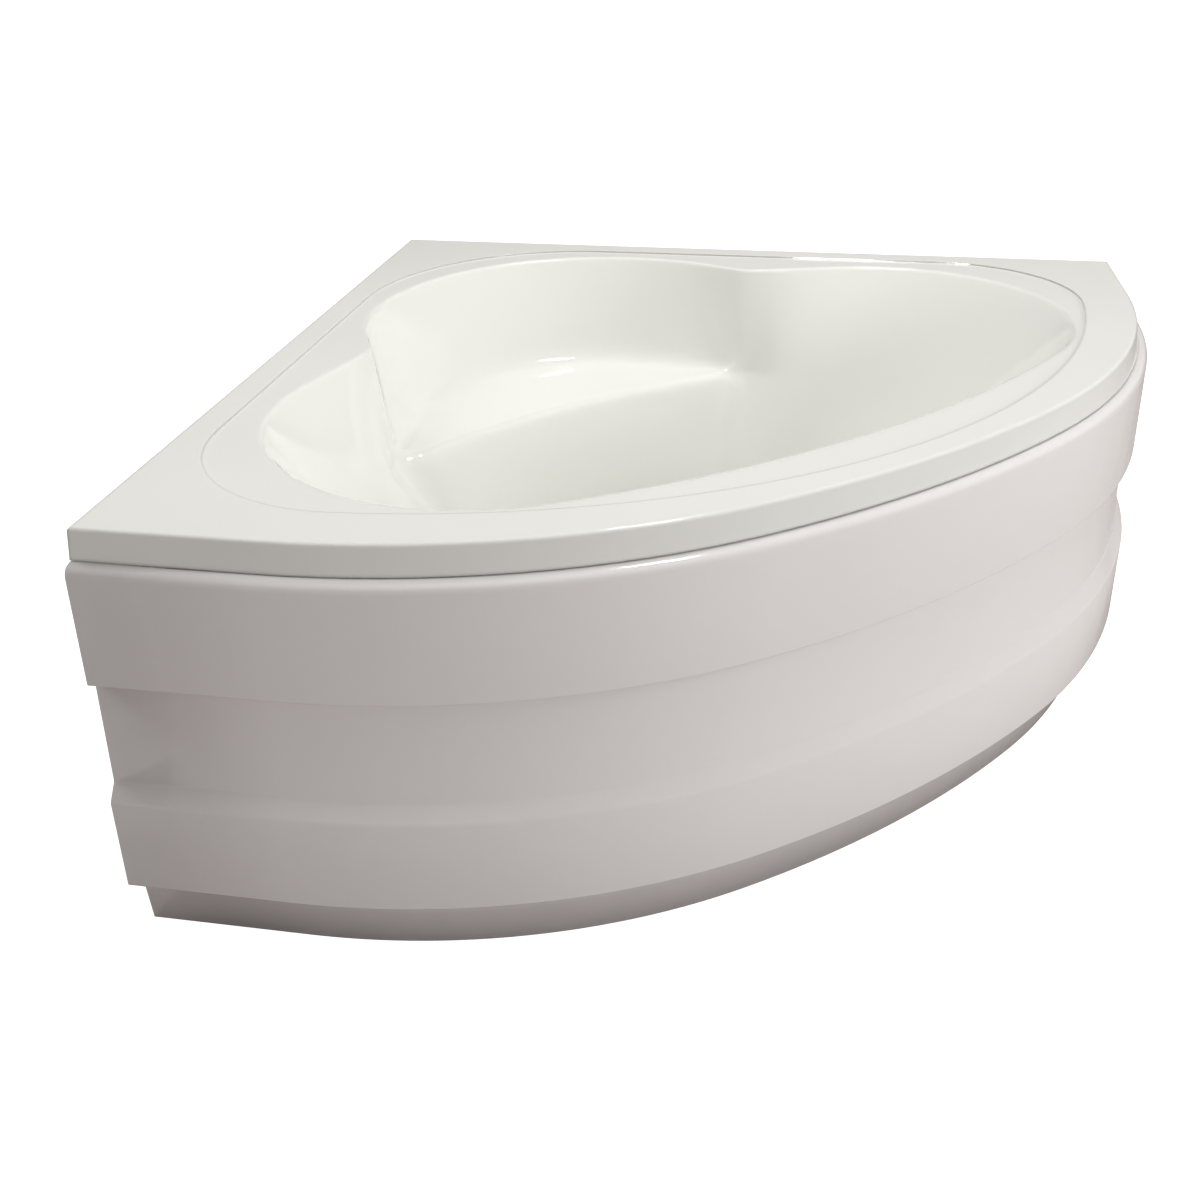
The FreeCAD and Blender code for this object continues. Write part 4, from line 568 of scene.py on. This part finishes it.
class BATHTUB_OT_control_cable(bpy.types.Operator):
    """Lay the cable that lifts the plug when the overflow knob turns."""

    bl_idname = "bathtub.control_cable"
    bl_label = "Control Cable"

    # Where the cable ends: along the diagonal, across it and height, in mm.
    OVERFLOW_PORT = (1433.9, 28.3, 556.4)
    WASTE_PORT = (1180.0, 30.3, 171.0)
    # The room it has to bend in, in mm, and the share of it that the first bend takes.
    ROOM = 50.0
    FIRST_BEND = 0.6
    # The basin's front wall: its foot along the diagonal and in height, in mm, and
    # how far it leans forward as it rises.
    WALL_FOOT = (1300.0, 205.0)
    WALL_LEAN = 0.2893
    # Behind the wall, as shares: of the fall, then of the room behind the wall and
    # across the diagonal.
    FALL = (
        (0.10, 0.80, 1.00), (0.26, 0.94, 1.08), (0.43, 1.02, 1.04),
        (0.59, 0.98, 0.92), (0.74, 0.78, 0.80), (0.87, 0.36, 0.76))
    # Under the basin, as shares of the room: ahead of the waste, across the diagonal
    # and above the waste's port.
    UNDER = ((1.66, 0.84, 0.24), (0.60, 0.92, 0.02), (0.0, 0.60, 0.0), (0.0, 0.0, 0.0))
    # Length of that run, in metres.
    LENGTH = 0.57

    def execute(self, context):
        size = sizes()
        made = plastic_finish("cable_sheath", colours().sheath, roughness=0.42, grain=0.1)
        line = bpy.data.curves.new("control_cable_run", "CURVE")
        line.dimensions = "3D"
        line.bevel_depth = size.cable_radius
        line.bevel_resolution = 4
        line.use_fill_caps = True
        line.resolution_u = 10
        spline = line.splines.new("NURBS")
        points = [self.diagonal(*place) for place in self.route()]
        spline.points.add(len(points) - 1)
        for knot, point in zip(spline.points, points):
            knot.co = (*point, 1.0)
        spline.order_u = 3
        spline.use_endpoint_u = True
        line.materials.append(made)
        cable = bpy.data.objects.new("control_cable_run", line)
        bpy.context.scene.collection.objects.link(cable)
        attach(cable, "bath")
        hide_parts("control_cable")
        return {"FINISHED"}

    def route(self):
        """From the overflow's side, down behind the front wall, to the waste's side."""
        along, out, high = self.OVERFLOW_PORT
        waste, side, low = self.WASTE_PORT
        foot, floor = self.WALL_FOOT
        room = self.ROOM
        places = [(along, out, high), (along, out + self.FIRST_BEND * room, high)]
        for fall, away, spread in self.FALL:
            height = high - fall * (high - low)
            wall = foot + (height - floor) * self.WALL_LEAN
            places.append((wall + away * room, out + spread * room, height))
        places += [(waste + ahead * room, side + spread * room, low + rise * room)
                   for ahead, spread, rise in self.UNDER]
        return places

    @staticmethod
    def diagonal(along, across, height):
        """A place given along and across the diagonal, seen from the model's origin."""
        root = math.sqrt(2)
        place = Vector(((along + across) / root, (across - along) / root, height))
        return ROOM_CORNER + place * MM


class BATHTUB_OT_stage(bpy.types.Operator):
    """Set up the floor, the soft lights and the camera."""

    bl_idname = "bathtub.stage"
    bl_label = "Studio"

    # Places in metres from the model's origin; the sensor's width and the lens in mm.
    FLOOR_REACH = 40.0
    WORLD_TINT = (0.99, 0.93, 0.91, 1.0)
    WORLD_STRENGTH = 0.33
    SENSOR_WIDTH = 36.0
    LENS = 39.48
    CAMERA_PLACE = (0.151, -2.081, 1.361)
    CAMERA_AROUND = math.radians(9.96)
    CAMERA_DOWN = math.radians(29.02)
    CAMERA_ROLL = math.radians(-0.70)
    # name, place, where it aims, width, height, watts, colour, seen in gloss
    LIGHTS = (
        ("key_right", (4.2, -0.1, 2.2), (0.2, -0.2, 0.4), 2.0, 1.6, 66.0,
         (1.0, 1.0, 0.99), False),
        ("front_fill", (3.0, -2.6, 1.3), (0.2, -0.2, 0.2), 2.0, 1.4, 32.0,
         (1.0, 1.0, 1.0), False),
        ("left_fill", (-2.6, -0.3, 3.0), (0.4, 0.2, 0.5), 2.0, 2.0, 28.0,
         (1.0, 1.0, 1.0), False),
        ("overhead", (0.3, 0.3, 3.6), (0.2, 0.1, 0.4), 3.0, 3.0, 38.0,
         (1.0, 1.0, 0.98), False),
        ("window", (0.3, 0.6, 3.2), (0.1, -0.1, 0.4), 0.55, 0.22, 20.0,
         (1.0, 1.0, 1.0), True),
    )

    def execute(self, context):
        scene = context.scene
        scene.view_settings.view_transform = "Standard"
        self.floor()
        self.world(scene)
        for name, place, aim, width, height, watts, colour, in_gloss in self.LIGHTS:
            lamp = bpy.data.lights.new(name, "AREA")
            lamp.shape = "RECTANGLE"
            lamp.size, lamp.size_y = width, height
            lamp.energy = watts
            lamp.color = colour
            stand = bpy.data.objects.new(name, lamp)
            scene.collection.objects.link(stand)
            stand.visible_glossy = in_gloss
            stand.location = place
            sight = Vector(aim) - Vector(place)
            stand.rotation_euler = sight.to_track_quat("-Z", "Y").to_euler()
        self.camera(scene)
        return {"FINISHED"}

    def floor(self):
        """A wide floor that the camera sees as plain white."""
        mesh = bmesh.new()
        bmesh.ops.create_grid(mesh, x_segments=1, y_segments=1, size=self.FLOOR_REACH)
        data = bpy.data.meshes.new("studio_floor")
        mesh.to_mesh(data)
        mesh.free()
        made, shader = material("studio_floor", roughness=0.7)
        link = made.node_tree.links.new
        tone = placed(made, "Mottle", patch_scale=2.0, grain_scale=90.0, grain_height=0.0)
        pale = colours().floor
        link(blend_colours(made, tone.outputs["Patches"], shade(pale, 0.98), pale),
             shader.inputs["Base Color"])
        ray = made.node_tree.nodes.new("ShaderNodeLightPath")
        shader.inputs["Emission Color"].default_value = WHITE
        link(ray.outputs["Is Camera Ray"], shader.inputs["Emission Strength"])
        data.materials.append(made)
        floor = bpy.data.objects.new("studio_floor", data)
        bpy.context.scene.collection.objects.link(floor)

    def world(self, scene):
        """A faint even light; the camera sees plain white instead."""
        world = bpy.data.worlds.new("studio")
        scene.world = world
        world.use_nodes = True
        tree = world.node_tree
        light = tree.nodes["Background"]
        light.inputs["Color"].default_value = self.WORLD_TINT
        light.inputs["Strength"].default_value = self.WORLD_STRENGTH
        seen = tree.nodes.new("ShaderNodeBackground")
        seen.inputs["Color"].default_value = WHITE
        ray = tree.nodes.new("ShaderNodeLightPath")
        mix = tree.nodes.new("ShaderNodeMixShader")
        tree.links.new(ray.outputs["Is Camera Ray"], mix.inputs["Fac"])
        tree.links.new(light.outputs["Background"], mix.inputs[1])
        tree.links.new(seen.outputs["Background"], mix.inputs[2])
        tree.links.new(mix.outputs["Shader"], tree.nodes["World Output"].inputs["Surface"])

    def camera(self, scene):
        """The photograph's place and view: 10 degrees round, 29 degrees down."""
        lens = bpy.data.cameras.new("camera")
        lens.sensor_width = self.SENSOR_WIDTH
        lens.lens = self.LENS
        camera = bpy.data.objects.new("camera", lens)
        scene.collection.objects.link(camera)
        camera.matrix_world = (
            Matrix.Translation(self.CAMERA_PLACE)
            @ Matrix.Rotation(self.CAMERA_AROUND, 4, "Z")
            @ Matrix.Rotation(math.pi / 2 - self.CAMERA_DOWN, 4, "X")
            @ Matrix.Rotation(self.CAMERA_ROLL, 4, "Z"))
        scene.camera = camera


PIECES = (
    BATHTUB_OT_stage,
    BATHTUB_OT_control_cable,
    BATHTUB_OT_tub,
    BATHTUB_OT_front_panel,
    BATHTUB_OT_cradle,
    BATHTUB_OT_fixings,
    BATHTUB_OT_waste_and_overflow,
)


class BATHTUB_PT_sidebar(bpy.types.Panel):
    """Lists the pieces and their sizes and colours."""

    bl_idname = "BATHTUB_PT_sidebar"
    bl_label = "Corner Bathtub"
    bl_space_type = "VIEW_3D"
    bl_region_type = "UI"
    bl_category = "Bathtub"

    def draw(self, context):
        layout = self.layout
        layout.operator(BATHTUB_OT_finish_groups.bl_idname)
        for piece in PIECES:
            layout.operator(piece.bl_idname)
        for group in (context.scene.bathtub_sizes, context.scene.bathtub_colours):
            box = layout.box()
            for name in type(group).__annotations__:
                box.prop(group, name)


CLASSES = (BathtubSizes, BathtubColours, BATHTUB_OT_finish_groups, *PIECES, BATHTUB_PT_sidebar)


def register():
    for made in CLASSES:
        bpy.utils.register_class(made)
    bpy.types.Scene.bathtub_sizes = bpy.props.PointerProperty(type=BathtubSizes)
    bpy.types.Scene.bathtub_colours = bpy.props.PointerProperty(type=BathtubColours)


def unregister():
    del bpy.types.Scene.bathtub_colours
    del bpy.types.Scene.bathtub_sizes
    for made in reversed(CLASSES):
        bpy.utils.unregister_class(made)


def main():
    register()
    bpy.ops.bathtub.finish_groups()
    bpy.ops.bathtub.stage()
    bpy.ops.bathtub.control_cable()
    bpy.ops.bathtub.tub()
    bpy.ops.bathtub.front_panel()
    bpy.ops.bathtub.cradle()
    bpy.ops.bathtub.fixings()
    bpy.ops.bathtub.waste_and_overflow()


if __name__ == "__main__":
    main()
